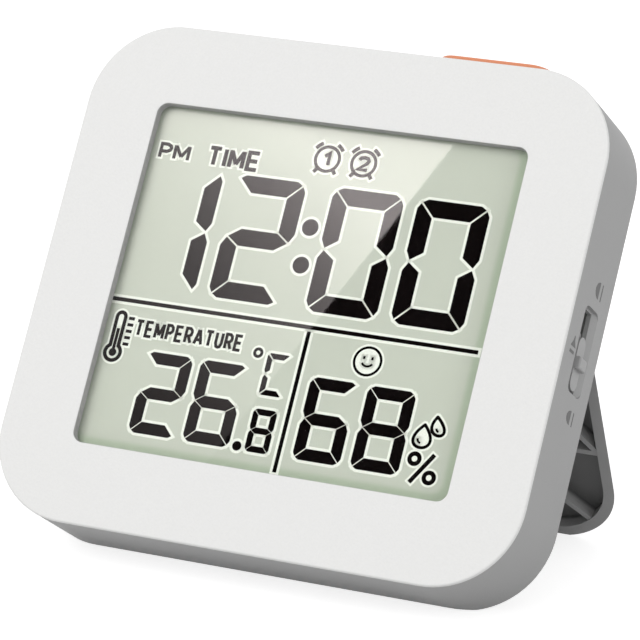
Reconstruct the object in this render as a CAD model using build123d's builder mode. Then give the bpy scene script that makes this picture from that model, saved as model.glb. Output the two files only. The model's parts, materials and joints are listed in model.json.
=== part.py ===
from build123d import *
import os
from math import acos, asin, atan2, cos, degrees, hypot, radians, sin, tan

# Desk clock with thermometer and hygrometer, in millimetres and degrees.
# It stands on the rear bottom edge of its case and on the foot of its fold-out stand.
# Depths are counted from the front face towards the back of the case.

# Case
case_width = 110.0
case_height = 102.4
corner_radius = 17.3
lean = 31.1
wall = 1.8
back_thickness = 1.8
back_edge_radius = 0.6
rest_cut = 0.9

# Front bezel
flange_thickness = 0.8
face_thickness = 1.9
front_edge_radius = 0.4
lip_thickness = 1.2
lip_depth = 2.4
window_margin_side = 15.7
window_margin_end = 16.15
window_corner = 2.2
window_edge = 0.3

# Fits and clearances
shell_fit = 0.15
slide_gap = 0.3
seat_gap = 0.2
touch_gap = 0.05
pivot_clearance = 0.08

# Display
lens_overlap = 2.6
lens_thickness = 0.8
lens_gap = 0.1
glass_thickness = 0.7
reflector_thickness = 0.25
ledge_width = 2.8
holder_wall = 1.4
holder_lip = 1.4
holder_lip_thickness = 0.5
holder_corner = 1.5
zebra_width = 2.0
zebra_end_margin = 5.0

# Circuit board
board_room = 5.4
board_thickness = 1.2
board_inset = 3.3
board_shelf_gap = 8.0
sensor_wing_gap = 0.6
sensor_wing_rise = 5.2

# Screws
case_screw_inset = 9.6
case_boss_radius = 3.2
case_boss_room = 1.4
screw_seat_thickness = 1.3
screw_head_radius = 2.1
screw_head_height = 1.3
screw_radius = 1.1
case_screw_length = 6.8
board_screw_inset = 7.0
board_screw_shares = (0.244, -0.39)
board_boss_radius = 2.4
board_screw_length = 4.2
pilot_margin = 0.4
screw_tube_wall = 1.0

# Stand
stand_thickness = 4.6
stand_sink = 0.2
stand_foot_gap = 2.4
stand_foot_radius = 15.3
stand_draft = 2.2
stand_back_radius = 1.0
stand_shoulder = 6.0
stand_rim = 2.3
stand_skin = 1.4
stand_rib = 1.1
stand_rib_drop = 0.3
stand_rib_root = 0.2
stand_cross_rib = 29.5
upper_rib_count = 6
lower_rib_count = 4
foot_cut = 0.5
hinge_share = 0.55
recess_rim = 0.8
recess_side_gap = 0.3
recess_floor = 1.5
fold_gap = 0.3
heel_gap = 0.1
ledge_wall = 1.5
cheek_width = 4.6
cheek_reach = 3.2
cheek_sink = 0.6
pivot_radius = 1.45
pivot_length = 2.7
pivot_hole_depth = 3.1

# Batteries and their bay
cell_diameter = 10.5
cell_length = 43.5
nub_diameter = 3.8
nub_length = 1.0
cell_edge_radius = 0.5
cell_spacing = 11.4
bay_clearance = 0.3
bay_wall = 1.6
bay_floor_thickness = 1.2
bay_gap = 1.75
bay_side_gap = 4.5
door_thickness = 1.6
door_ledge = 1.1
door_corner = 1.5
door_fit = 0.2
latch_width = 10.0
latch_length = 5.0
latch_slit = 0.7
contact_thickness = 0.4
contact_width = 8.0
dimple_radius = 1.7
dimple_height = 0.6
leaf_height = 3.6
leaf_width = 4.0
tail_width = 2.4
tail_overlap = 2.0

# Push switches and keys
switch_size = 6.0
switch_height = 3.5
switch_edge = 0.4
plunger_radius = 1.6
plunger_seat = 1.0
plunger_proud = 1.0
plunger_bore = 2.2
key_share = 0.093
key_proud = 0.9
key_edge = 0.5
key_flange = 0.9
key_flange_thickness = 1.0
key_stem_radius = 1.5
key_column_shares = (0.37, 0.674)
key_row_shares = (0.518, 0.23)

# Snooze button on the top edge
snooze_share = 0.2155
snooze_depth = 8.6
snooze_place = 0.4516
snooze_centre_depth = 10.8
snooze_corner = 4.0
snooze_proud = 2.85
snooze_edge = 0.6
snooze_flange = 0.8
snooze_flange_thickness = 1.0
snooze_switch_inset = 4.2
snooze_switch_drop = 7.2

# Alarm slide switch on the right side
alarm_slot_length = 16.0
alarm_slot_width = 4.6
alarm_travel = 5.0
alarm_pocket_margin = 0.5
alarm_pocket_side = 1.7
alarm_pocket_corner = 1.6
alarm_pocket_depth = 0.9
alarm_flange = 0.3
alarm_flange_thickness = 1.0
alarm_plate_corner = 1.8
alarm_plate_sink = 0.45
nub_width = 2.3
nub_proud = 0.65
nub_edge = 0.4
lever_size = 1.8
lever_fit = 0.1
switch_body_length = 14.0
switch_body_width = 5.0
switch_body_height = 3.6
lever_socket_depth = 1.2
lever_from_side = 2.3
lever_rise = 1.4

# Small parts on the board and in the back
chip_radius = 6.5
chip_height = 1.8
chip_edge = 1.2
chip_drop = 22.0
crystal_radius = 1.0
crystal_length = 6.0
crystal_shift = 14.0
capacitor_radius = 2.2
capacitor_height = 3.6
sensor_size = 3.0
sensor_height = 1.1
sensor_port_radius = 0.5
thermistor_radius = 1.0
thermistor_length = 3.2
thermistor_share = 0.28
sounder_column_share = 0.36
sounder_place = 0.68
buzzer_radius = 6.0
ceramic_radius = 4.2
buzzer_thickness = 0.4
lead_radius = 0.45
lead_bend = 1.6
lead_spread = 3.0
lead_inset = 1.0
sound_hole_radius = 0.7
sound_ring_radius = 2.8
sound_hole_count = 6
vent_share = 0.6
vent_place = 0.18
vent_width = 1.4
vent_step = 2.8
vent_count = 3

# Depths behind the front face: the display, then the battery bay with a cell and the door
glass_depth = face_thickness + lens_thickness + lens_gap
rear_glass_depth = glass_depth + glass_thickness
reflector_depth = rear_glass_depth + glass_thickness
display_back = reflector_depth + reflector_thickness
bay_floor = display_back + holder_lip_thickness + bay_gap + bay_floor_thickness
cell_depth = bay_floor + bay_clearance + cell_diameter / 2
case_depth = cell_depth + cell_diameter / 2 + bay_clearance + door_thickness
back_inside = case_depth - back_thickness

# Frame of the case: x to the right, y up the leaning face, z out of the front
tilt = radians(lean)
rest_shift = rest_cut * (1 / tan(tilt) - tan(tilt)) / 2
face_y = rest_shift + case_height / 2 * sin(tilt) - case_depth * cos(tilt)
face_z = case_height / 2 * cos(tilt) + case_depth * sin(tilt) - rest_cut
CASE = Plane(origin=(0, face_y, face_z), x_dir=(1, 0, 0), z_dir=(0, -cos(tilt), sin(tilt)))
OUTWARD = Axis(CASE.origin, CASE.z_dir)
UPWARD = Axis(CASE.origin, CASE.y_dir)
RIGHTWARD = Axis(CASE.origin, CASE.x_dir)
half_width = case_width / 2
half_height = case_height / 2


def point(x, y, depth):
    """Point of the case frame, given its depth behind the front face."""
    return CASE.from_local_coords((x, y, -depth))


def at(depth):
    """Plane parallel to the front face at a depth behind it."""
    return CASE.offset(-depth)


TOP = Plane(origin=point(0, half_height, 0), x_dir=CASE.x_dir, z_dir=CASE.y_dir)
RIGHT = Plane(origin=point(half_width, 0, 0), x_dir=CASE.y_dir, z_dir=CASE.x_dir)

# Sizes that follow from the driving dimensions
plug_inset = wall + shell_fit
window_width = case_width - 2 * window_margin_side
window_height = case_height - 2 * window_margin_end
lens_width = window_width + 2 * lens_overlap
lens_height = window_height + 2 * lens_overlap
stand_half = stand_thickness / 2
stand_half_width = half_width - recess_rim - recess_side_gap
hinge_height = case_height * hinge_share
hinge_y = hinge_height - half_height
hinge_depth = case_depth - stand_sink - stand_half
stand_leg = hinge_height - stand_foot_gap
recess_depth = hinge_depth - stand_half - fold_gap
floor_inside = recess_depth - recess_floor
board_depth = floor_inside - board_room
board_back = board_depth + board_thickness
case_boss_end = floor_inside - case_boss_room
screw_seat = case_boss_end + screw_seat_thickness
pivot_x = half_width - recess_rim - cheek_width
neck_half_width = pivot_x - slide_gap
case_screw_points = [
    (side * (half_width - case_screw_inset), end * (half_height - case_screw_inset))
    for side in (-1, 1)
    for end in (-1, 1)
]
board_screw_points = [
    (side * (half_width - board_screw_inset), share * half_height)
    for side in (-1, 1)
    for share in board_screw_shares
]

# Opening angle of the stand: its foot comes down to the level of the case's rest edge
pivot_point = point(0, hinge_y, hinge_depth)
foot_reach = hypot(stand_leg, stand_half)
leg_swing = atan2(stand_half, stand_leg) + acos((pivot_point.Z + foot_cut) / foot_reach)
open_angle = tilt + leg_swing
STAND = Plane(origin=pivot_point, x_dir=(1, 0, 0), z_dir=(0, -cos(leg_swing), -sin(leg_swing)))
STAND_SECTION = Plane(origin=pivot_point, x_dir=STAND.y_dir, z_dir=(1, 0, 0))
HINGE = Plane(origin=pivot_point, x_dir=CASE.y_dir, z_dir=CASE.x_dir)
heel_radius = stand_half + fold_gap - heel_gap
heel_length = (heel_radius + stand_half * cos(open_angle)) / sin(open_angle)
recess_top = hinge_y + hypot(heel_length, stand_half) + slide_gap

# Back panel above the recess, from left to right: sounder column, battery bay, key column
panel_bottom = recess_top + ledge_wall
panel_height = half_height - wall - panel_bottom
bay_length = 2 * contact_thickness + dimple_height + nub_length + cell_length + leaf_height
bay_height = cell_spacing + cell_diameter + 2 * bay_clearance
free_width = case_width - 2 * wall - bay_length - 2 * bay_wall
sounder_column = free_width * sounder_column_share
column_left = -half_width + wall
column_right = column_left + sounder_column

# Battery bay, measured inside its walls
bay_left = column_right + bay_wall
bay_right = bay_left + bay_length
bay_x = (bay_left + bay_right) / 2
bay_y = panel_bottom + panel_height / 2
wing_left = bay_right + bay_side_gap
shelf_y = bay_y - bay_height / 2 - bay_wall - board_shelf_gap
upper_cell_y = bay_y + cell_spacing / 2
lower_cell_y = bay_y - cell_spacing / 2
tail_length = contact_thickness + bay_side_gap + tail_overlap
tail_slot_depth = board_back + contact_thickness / 2

# Keys, snooze button and alarm switch
key_names = ["mode_key", "up_key", "down_key", "unit_key"]
key_column = free_width - sounder_column
key_radius = key_column * key_share
key_columns = [bay_right + bay_wall + share * key_column for share in key_column_shares]
key_rows = [panel_bottom + share * panel_height for share in key_row_shares]
key_points = [(x, y) for y in key_rows for x in key_columns]
snooze_width = case_width * snooze_share
snooze_x = half_width * snooze_place
snooze_switch_x = wing_left + snooze_switch_inset
snooze_tip_y = half_height - snooze_switch_drop
snooze_base_y = snooze_tip_y - switch_height - plunger_proud
snooze_stem_depth = board_back + switch_size / 2
alarm_plate_length = alarm_slot_length - alarm_travel - 2 * slide_gap
alarm_rest_y = -alarm_travel / 2
alarm_depth = board_back + lever_rise
alarm_wall = half_width - wall
lever_tip_x = alarm_wall - seat_gap
switch_body_right = half_width - board_inset - lever_from_side

# Sensors, sounder and vents in the upper left of the back
column_top = half_height - case_screw_inset - screw_head_radius - slide_gap - screw_tube_wall
column_height = column_top - panel_bottom
sensor_wing_left = -half_width + board_inset
sensor_wing_right = column_right - sensor_wing_gap
sensor_wing_width = sensor_wing_right - sensor_wing_left
sensor_x = sensor_wing_left + sensor_wing_width / 2
vent_y = panel_bottom + vent_place * column_height
vent_length = vent_share * sounder_column
sensor_wing_top = vent_y + sensor_wing_rise
buzzer_x = column_left + sounder_column / 2
buzzer_y = panel_bottom + sounder_place * column_height


def case_outline(inset):
    """Rounded outline of the case, drawn in by an inset."""
    RectangleRounded(case_width - 2 * inset, case_height - 2 * inset, corner_radius - inset)


# Front bezel: flange, plug that enters the rear case, locating lip, bosses and window
with BuildPart() as front_bezel:
    with BuildSketch(CASE):
        case_outline(0)
    extrude(amount=-flange_thickness)
    fillet(front_bezel.faces().sort_by(OUTWARD)[-1].edges(), front_edge_radius)
    with BuildSketch(at(flange_thickness)):
        case_outline(plug_inset)
    extrude(amount=-(face_thickness - flange_thickness))
    with BuildSketch(at(face_thickness)):
        case_outline(plug_inset)
        RectangleRounded(
            case_width - 2 * (plug_inset + lip_thickness),
            case_height - 2 * (plug_inset + lip_thickness),
            corner_radius - plug_inset - lip_thickness,
            mode=Mode.SUBTRACT,
        )
    extrude(amount=-lip_depth)
    with BuildSketch(at(face_thickness)):
        with Locations(*case_screw_points):
            Circle(case_boss_radius)
    extrude(amount=-(case_boss_end - face_thickness))
    with BuildSketch(at(face_thickness)):
        with Locations(*board_screw_points):
            Circle(board_boss_radius)
    extrude(amount=-(board_depth - face_thickness))
    with BuildSketch(at(case_boss_end)):
        with Locations(*case_screw_points):
            Circle(screw_radius)
    extrude(amount=case_screw_length - screw_seat_thickness + pilot_margin, mode=Mode.SUBTRACT)
    with BuildSketch(at(board_depth)):
        with Locations(*board_screw_points):
            Circle(screw_radius)
    extrude(amount=board_screw_length - board_thickness + pilot_margin, mode=Mode.SUBTRACT)
    with BuildSketch(CASE):
        RectangleRounded(window_width, window_height, window_corner)
    extrude(amount=-face_thickness, mode=Mode.SUBTRACT)
    fillet(front_bezel.faces().sort_by(OUTWARD)[-1].inner_wires()[0].edges(), window_edge)

# Clear window behind the bezel
with BuildPart() as lens_window:
    with BuildSketch(at(face_thickness)):
        Rectangle(lens_width, lens_height)
    extrude(amount=-lens_thickness)

# Display cell: front glass with a contact ledge at its lower edge, rear glass and reflector
with BuildPart() as lcd_front_glass:
    with BuildSketch(at(glass_depth)):
        Rectangle(lens_width, lens_height)
    extrude(amount=-glass_thickness)

with BuildPart() as lcd_rear_glass:
    with BuildSketch(at(rear_glass_depth)):
        with Locations((0, lens_height / 2)):
            Rectangle(lens_width, lens_height - ledge_width, align=(Align.CENTER, Align.MAX))
    extrude(amount=-glass_thickness)

with BuildPart() as lcd_reflector:
    with BuildSketch(at(reflector_depth)):
        with Locations((0, lens_height / 2)):
            Rectangle(lens_width, lens_height - ledge_width, align=(Align.CENTER, Align.MAX))
    extrude(amount=-reflector_thickness)

# Holder: frame round the display with a lip behind its top and sides
holder_width = lens_width + 2 * (seat_gap + holder_wall)
holder_height = lens_height + 2 * (seat_gap + holder_wall)
with BuildPart() as lcd_holder:
    with BuildSketch(at(face_thickness)) as frame_outline:
        Rectangle(holder_width, holder_height)
        chamfer(frame_outline.vertices(), holder_corner)
        Rectangle(lens_width + 2 * seat_gap, lens_height + 2 * seat_gap, mode=Mode.SUBTRACT)
    extrude(amount=-(display_back + holder_lip_thickness - face_thickness))
    with BuildSketch(at(display_back)):
        Rectangle(lens_width + 2 * seat_gap, lens_height + 2 * seat_gap)
        with Locations((0, lens_height / 2 - holder_lip)):
            Rectangle(
                lens_width - 2 * holder_lip,
                lens_height + seat_gap,
                align=(Align.CENTER, Align.MAX),
                mode=Mode.SUBTRACT,
            )
    extrude(amount=-holder_lip_thickness)

# Elastomer connector between the display's ledge and the board
with BuildPart() as zebra_strip:
    with BuildSketch(at(rear_glass_depth)):
        with Locations((0, -lens_height / 2 + ledge_width / 2)):
            Rectangle(lens_width - 2 * zebra_end_margin, zebra_width)
    extrude(amount=-(board_depth - rear_glass_depth))

# Circuit board: full width below the bay, a key wing on the right and a sensor wing on the left
with BuildPart() as main_pcb:
    with BuildSketch(at(board_depth)):
        case_outline(board_inset)
        with Locations((sensor_wing_right, shelf_y)):
            Rectangle(
                wing_left - sensor_wing_right,
                case_height,
                align=(Align.MIN, Align.MIN),
                mode=Mode.SUBTRACT,
            )
        with Locations((sensor_wing_right, sensor_wing_top)):
            Rectangle(case_width, case_height, align=(Align.MAX, Align.MIN), mode=Mode.SUBTRACT)
        with Locations((wing_left, snooze_tip_y)):
            Rectangle(case_width, case_height, align=(Align.MIN, Align.MIN), mode=Mode.SUBTRACT)
        with Locations(*case_screw_points):
            Circle(case_boss_radius + slide_gap, mode=Mode.SUBTRACT)
        with Locations(*board_screw_points):
            Circle(screw_radius, mode=Mode.SUBTRACT)
    extrude(amount=-board_thickness)

# Potted chip, crystal and capacitor on the back of the board
chip_y = -chip_drop
with BuildPart() as driver_chip:
    with BuildSketch(at(board_back)):
        with Locations((0, chip_y)):
            Circle(chip_radius)
    extrude(amount=-chip_height)
    fillet(driver_chip.faces().sort_by(OUTWARD)[0].edges(), chip_edge)

crystal_start = point(crystal_shift, chip_y, board_back + crystal_radius)
with BuildPart() as crystal:
    with BuildSketch(Plane(crystal_start, CASE.x_dir, CASE.y_dir)):
        Circle(crystal_radius)
    extrude(amount=crystal_length)

with BuildPart() as capacitor:
    with BuildSketch(at(board_back)):
        with Locations((-crystal_shift, chip_y)):
            Circle(capacitor_radius)
    extrude(amount=-capacitor_height)
    chamfer(capacitor.faces().sort_by(OUTWARD)[0].edges(), switch_edge)

# Humidity sensor and thermistor on the sensor wing, in front of the vents
with BuildPart() as humidity_sensor:
    with BuildSketch(at(board_back)):
        with Locations((sensor_x, vent_y)):
            Rectangle(sensor_size, sensor_size)
    extrude(amount=-sensor_height)
    with BuildSketch(at(board_back + sensor_height)):
        with Locations((sensor_x, vent_y)):
            Circle(sensor_port_radius)
    extrude(amount=sensor_height / 2, mode=Mode.SUBTRACT)

thermistor_depth = board_back + thermistor_radius
thermistor_x = sensor_x + thermistor_share * sensor_wing_width
thermistor_start = point(thermistor_x, vent_y - thermistor_length / 2, thermistor_depth)
with BuildPart() as thermistor:
    with BuildSketch(Plane(thermistor_start, CASE.x_dir, CASE.y_dir)):
        Circle(thermistor_radius)
    extrude(amount=thermistor_length)
    fillet(thermistor.faces().filter_by(GeomType.PLANE).edges(), thermistor_radius / 2)


def push_switch(base):
    """Body of a push switch standing on a plane, with the bore of its plunger."""
    with BuildPart() as body:
        with BuildSketch(base):
            RectangleRounded(switch_size, switch_size, switch_edge)
        extrude(amount=switch_height)
        with BuildSketch(base.offset(switch_height)):
            Circle(plunger_radius + slide_gap)
        extrude(amount=-plunger_bore, mode=Mode.SUBTRACT)
    return body.part


def switch_plunger(base):
    """Plunger of a push switch, half sunk in its bore."""
    with BuildPart() as plunger:
        with BuildSketch(base.offset(switch_height - plunger_seat)):
            Circle(plunger_radius)
        extrude(amount=plunger_seat + plunger_proud)
    return plunger.part


def setting_key(x, y):
    """Round key in the back: cap, retaining flange and stem down to its switch."""
    with BuildPart() as key:
        with BuildSketch(at(case_depth + key_proud)):
            with Locations((x, y)):
                Circle(key_radius)
        extrude(amount=key_proud + back_thickness + seat_gap)
        fillet(key.faces().sort_by(OUTWARD)[0].edges(), key_edge)
        with BuildSketch(at(back_inside - seat_gap)):
            with Locations((x, y)):
                Circle(key_radius + key_flange)
        extrude(amount=key_flange_thickness)
        with BuildSketch(at(back_inside - seat_gap - key_flange_thickness)):
            with Locations((x, y)):
                Circle(key_stem_radius)
        stem_start = board_back + switch_height + plunger_proud + touch_gap
        extrude(amount=back_inside - seat_gap - key_flange_thickness - stem_start)
    return key.part


# Setting keys with their switches
pieces = {}
for name, (x, y) in zip(key_names, key_points):
    base = Plane(point(x, y, board_back), CASE.x_dir, -CASE.z_dir)
    pieces[name] = setting_key(x, y)
    pieces[name + "_switch"] = push_switch(base)
    pieces[name + "_plunger"] = switch_plunger(base)

# Snooze switch, lying on the board with its plunger pointing up
snooze_base = Plane(point(snooze_switch_x, snooze_base_y, snooze_stem_depth), CASE.x_dir, CASE.y_dir)
pieces["snooze_switch"] = push_switch(snooze_base)
pieces["snooze_plunger"] = switch_plunger(snooze_base)

# Snooze button: flat cap through the top wall, flange under the wall and stem
snooze_under = half_height - wall - seat_gap
snooze_reach = slide_gap + snooze_flange
with BuildPart() as snooze_button:
    with BuildSketch(TOP.offset(snooze_under - half_height)):
        with Locations((snooze_x, snooze_centre_depth)):
            RectangleRounded(snooze_width, snooze_depth, snooze_corner)
    extrude(amount=half_height + snooze_proud - snooze_under)
    fillet(snooze_button.faces().sort_by(UPWARD)[-1].edges(), snooze_edge)
    with BuildSketch(TOP.offset(snooze_under - half_height)):
        with Locations((snooze_x, snooze_centre_depth)):
            Rectangle(snooze_width + 2 * snooze_reach, snooze_depth + 2 * snooze_reach)
    extrude(amount=-snooze_flange_thickness)
    with BuildSketch(TOP.offset(snooze_under - snooze_flange_thickness - half_height)):
        with Locations((snooze_switch_x, snooze_stem_depth)):
            Circle(key_stem_radius)
    extrude(amount=-(snooze_under - snooze_flange_thickness - snooze_tip_y - touch_gap))

# Alarm switch: body on the board, lever, and the knob that slides in the right wall
lever_y_room = alarm_travel + lever_size + 2 * slide_gap
with BuildPart() as alarm_switch_body:
    with BuildSketch(at(board_back)):
        with Locations((switch_body_right, 0)):
            Rectangle(switch_body_width, switch_body_length, align=(Align.MAX, Align.CENTER))
    extrude(amount=-switch_body_height)
    with BuildSketch(RIGHT.offset(switch_body_right - half_width)):
        with Locations((0, -alarm_depth)):
            Rectangle(lever_y_room, lever_size + 2 * slide_gap)
    extrude(amount=-lever_socket_depth - slide_gap, mode=Mode.SUBTRACT)

with BuildPart() as alarm_switch_lever:
    with BuildSketch(RIGHT.offset(switch_body_right - lever_socket_depth - half_width)):
        with Locations((alarm_rest_y, -alarm_depth)):
            Rectangle(lever_size, lever_size)
    extrude(amount=lever_tip_x - switch_body_right + lever_socket_depth)

with BuildPart() as alarm_switch_knob:
    with BuildSketch(RIGHT.offset(-wall - seat_gap)):
        with Locations((alarm_rest_y, -alarm_depth)):
            RectangleRounded(alarm_plate_length, alarm_slot_width - 2 * slide_gap, alarm_plate_corner)
    extrude(amount=wall + seat_gap - alarm_plate_sink)
    with BuildSketch(RIGHT.offset(-wall - seat_gap)):
        with Locations((alarm_rest_y, -alarm_depth)):
            Rectangle(alarm_plate_length + alarm_travel / 2, alarm_slot_width + 2 * alarm_flange)
    extrude(amount=-alarm_flange_thickness)
    with BuildSketch(RIGHT.offset(-alarm_plate_sink)):
        with Locations((alarm_rest_y, -alarm_depth)):
            Rectangle(nub_width, alarm_slot_width - 2 * slide_gap)
    extrude(amount=alarm_plate_sink + nub_proud)
    fillet(alarm_switch_knob.faces().sort_by(RIGHTWARD)[-1].edges(), nub_edge)
    with BuildSketch(RIGHT.offset(-wall - seat_gap - alarm_flange_thickness)):
        with Locations((alarm_rest_y, -alarm_depth)):
            Rectangle(lever_size + 2 * lever_fit, lever_size + 2 * lever_fit)
    extrude(amount=alarm_flange_thickness, mode=Mode.SUBTRACT)

# Scooped pocket round the slide: steep at its front side, running out towards the back
alarm_pocket_length = alarm_slot_length + 2 * alarm_pocket_margin
alarm_pocket_half = alarm_slot_width / 2 + alarm_pocket_side
pocket_end = point(half_width, -alarm_pocket_length / 2, alarm_depth)
with BuildPart() as alarm_pocket:
    with BuildSketch(RIGHT):
        with Locations((0, -alarm_depth)):
            RectangleRounded(alarm_pocket_length, 2 * alarm_pocket_half, alarm_pocket_corner)
    extrude(amount=-alarm_pocket_depth)
    with BuildSketch(Plane(pocket_end, -CASE.z_dir, CASE.y_dir)):
        with BuildLine():
            Polyline(
                (-alarm_pocket_half, 0),
                (-alarm_pocket_half, alarm_pocket_depth),
                (alarm_slot_width / 2, alarm_pocket_depth),
                (alarm_pocket_half, 0),
                close=True,
            )
        make_face()
    extrude(amount=alarm_pocket_length, mode=Mode.INTERSECT)

# Rear case: shell with the stand recess in the lower half of its back
with BuildPart() as rear_case:
    with BuildSketch(at(flange_thickness)):
        case_outline(0)
    extrude(amount=-(case_depth - flange_thickness))
    fillet(rear_case.faces().sort_by(OUTWARD)[0].edges(), back_edge_radius)
    with BuildSketch(at(flange_thickness)):
        case_outline(wall)
    extrude(amount=-(floor_inside - flange_thickness), mode=Mode.SUBTRACT)
    with BuildSketch(at(floor_inside)):
        case_outline(wall)
        with Locations((0, recess_top + ledge_wall)):
            Rectangle(case_width, case_height, align=(Align.CENTER, Align.MIN), mode=Mode.INTERSECT)
    extrude(amount=-(back_inside - floor_inside), mode=Mode.SUBTRACT)
    with BuildSketch(at(case_depth)):
        case_outline(recess_rim)
        with Locations((0, recess_top)):
            Rectangle(case_width, case_height, align=(Align.CENTER, Align.MAX), mode=Mode.INTERSECT)
    extrude(amount=case_depth - recess_depth, mode=Mode.SUBTRACT)

    # Hinge cheeks at both ends of the recess, with blind pivot holes
    with BuildSketch(at(recess_depth)):
        for side in (-1, 1):
            with Locations((side * (pivot_x + cheek_width / 2), recess_top)):
                Rectangle(cheek_width, recess_top - hinge_y + cheek_reach, align=(Align.CENTER, Align.MAX))
    extrude(amount=-(case_depth - cheek_sink - recess_depth))
    for side in (-1, 1):
        with BuildSketch(HINGE.offset(side * pivot_x)):
            Circle(pivot_radius + pivot_clearance)
        extrude(amount=side * pivot_hole_depth, mode=Mode.SUBTRACT)

    # Battery bay with the ledge of its door
    with BuildSketch(at(bay_floor - bay_floor_thickness)):
        with Locations((bay_x, bay_y)):
            Rectangle(bay_length + 2 * bay_wall, bay_height + 2 * bay_wall)
    extrude(amount=-(back_inside - bay_floor + bay_floor_thickness))
    with BuildSketch(at(case_depth)):
        with Locations((bay_x, bay_y)):
            Rectangle(bay_length, bay_height)
    extrude(amount=case_depth - bay_floor, mode=Mode.SUBTRACT)
    with BuildSketch(at(case_depth)):
        with Locations((bay_x, bay_y)):
            RectangleRounded(bay_length + 2 * door_ledge, bay_height + 2 * door_ledge, door_corner)
    extrude(amount=door_thickness, mode=Mode.SUBTRACT)

    # Slots for the contacts' tails in the end wall of the bay
    with BuildSketch(RIGHT.offset(bay_right - half_width)):
        with Locations((upper_cell_y, -tail_slot_depth), (lower_cell_y, -tail_slot_depth)):
            Rectangle(tail_width + 2 * seat_gap, contact_thickness + 2 * seat_gap)
    extrude(amount=bay_wall, mode=Mode.SUBTRACT)

    # Screw tubes from the back to the bezel's bosses
    with BuildSketch(at(case_boss_end)):
        with Locations(*case_screw_points):
            Circle(screw_head_radius + slide_gap + screw_tube_wall)
    extrude(until=Until.NEXT, dir=-CASE.z_dir)
    with BuildSketch(at(case_depth)):
        with Locations(*case_screw_points):
            Circle(screw_head_radius + slide_gap)
    extrude(amount=case_depth - screw_seat, mode=Mode.SUBTRACT)
    with BuildSketch(at(screw_seat)):
        with Locations(*case_screw_points):
            Circle(screw_radius)
    extrude(amount=screw_seat_thickness, mode=Mode.SUBTRACT)

    # Openings: keys, sound holes and vents in the back, button in the top, slide in the side
    with BuildSketch(at(case_depth)):
        with Locations(*key_points):
            Circle(key_radius + slide_gap)
        with Locations((buzzer_x, buzzer_y)):
            Circle(sound_hole_radius)
            with PolarLocations(sound_ring_radius, sound_hole_count):
                Circle(sound_hole_radius)
        with Locations((sensor_x, vent_y)):
            with GridLocations(0, vent_step, 1, vent_count):
                SlotOverall(vent_length, vent_width)
    extrude(amount=back_thickness, mode=Mode.SUBTRACT)
    with BuildSketch(TOP):
        with Locations((snooze_x, snooze_centre_depth)):
            RectangleRounded(
                snooze_width + 2 * slide_gap,
                snooze_depth + 2 * slide_gap,
                snooze_corner + slide_gap,
            )
    extrude(amount=-wall, mode=Mode.SUBTRACT)
    with BuildSketch(RIGHT):
        with Locations((0, -alarm_depth)):
            Rectangle(alarm_slot_length, alarm_slot_width)
    extrude(amount=-wall, mode=Mode.SUBTRACT)
    add(alarm_pocket.part, mode=Mode.SUBTRACT)

    # Flat land on the rear bottom edge
    split(bisect_by=Plane.XY)

# Inner side of the stand: the hollow within its rim, and the ribs that cross it
pocket_half_width = stand_half_width - stand_rim
pocket_top = -stand_shoulder - stand_rim
pocket_bottom = -stand_leg + stand_rim


def flap_outline(inset):
    """Outline of the wide part of the stand, drawn in by an inset."""
    with BuildSketch() as shape:
        with Locations((0, -stand_leg + inset)):
            Rectangle(
                2 * (stand_half_width - inset),
                stand_leg - stand_shoulder - 2 * inset,
                align=(Align.CENTER, Align.MIN),
            )
        fillet(shape.vertices().group_by(Axis.Y)[0], stand_foot_radius - inset)
    return shape.sketch


def zigzag(count, first, second):
    """Slanted ribs that cross the stand between two heights."""
    step = 2 * pocket_half_width / count
    length = hypot(step, second - first)
    slope = degrees(atan2(second - first, step))
    for index in range(count):
        middle = ((index + 0.5) * step - pocket_half_width, (first + second) / 2)
        with Locations(Location(middle, slope if index % 2 == 0 else -slope)):
            Rectangle(length, stand_rib)


# Stand: wide flap with a rim, ribbed inside, a narrower neck with pivots and a heel that stops it
heel_start = 90 - degrees(open_angle)
heel_end = degrees(asin(stand_half / heel_radius))
neck_length = stand_shoulder + stand_rim
with BuildPart() as stand:
    with BuildSketch(STAND.offset(-stand_half)):
        add(flap_outline(stand_draft))
    with BuildSketch(STAND.offset(stand_half)):
        add(flap_outline(0))
    loft(ruled=True)
    fillet(stand.faces().sort_by(Axis(STAND.origin, STAND.z_dir))[0].edges(), stand_back_radius)
    with BuildSketch(STAND.offset(stand_half)):
        add(flap_outline(stand_rim))
    extrude(amount=-(stand_thickness - stand_skin), mode=Mode.SUBTRACT)
    with BuildSketch(STAND.offset(stand_half - stand_rib_drop)):
        zigzag(upper_rib_count, -stand_cross_rib, pocket_top)
        zigzag(lower_rib_count, pocket_bottom, -stand_cross_rib)
        with Locations((0, -stand_cross_rib)):
            Rectangle(2 * stand_half_width, stand_rib)
        add(flap_outline(stand_rim - stand_rib_root), mode=Mode.INTERSECT)
    extrude(amount=-(stand_thickness - stand_rib_drop - stand_skin / 2))
    with BuildSketch(STAND_SECTION):
        with BuildLine():
            heel_arc = CenterArc((0, 0), heel_radius, heel_start, heel_end - heel_start)
            Polyline(
                heel_arc @ 1,
                (-neck_length, stand_half),
                (-neck_length, -stand_half),
                (heel_length, -stand_half),
                heel_arc @ 0,
            )
        make_face()
    extrude(amount=neck_half_width, both=True)
    for side in (-1, 1):
        with BuildSketch(HINGE.offset(side * neck_half_width)):
            Circle(pivot_radius)
        extrude(amount=side * pivot_length)
    split(bisect_by=Plane.XY)

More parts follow.
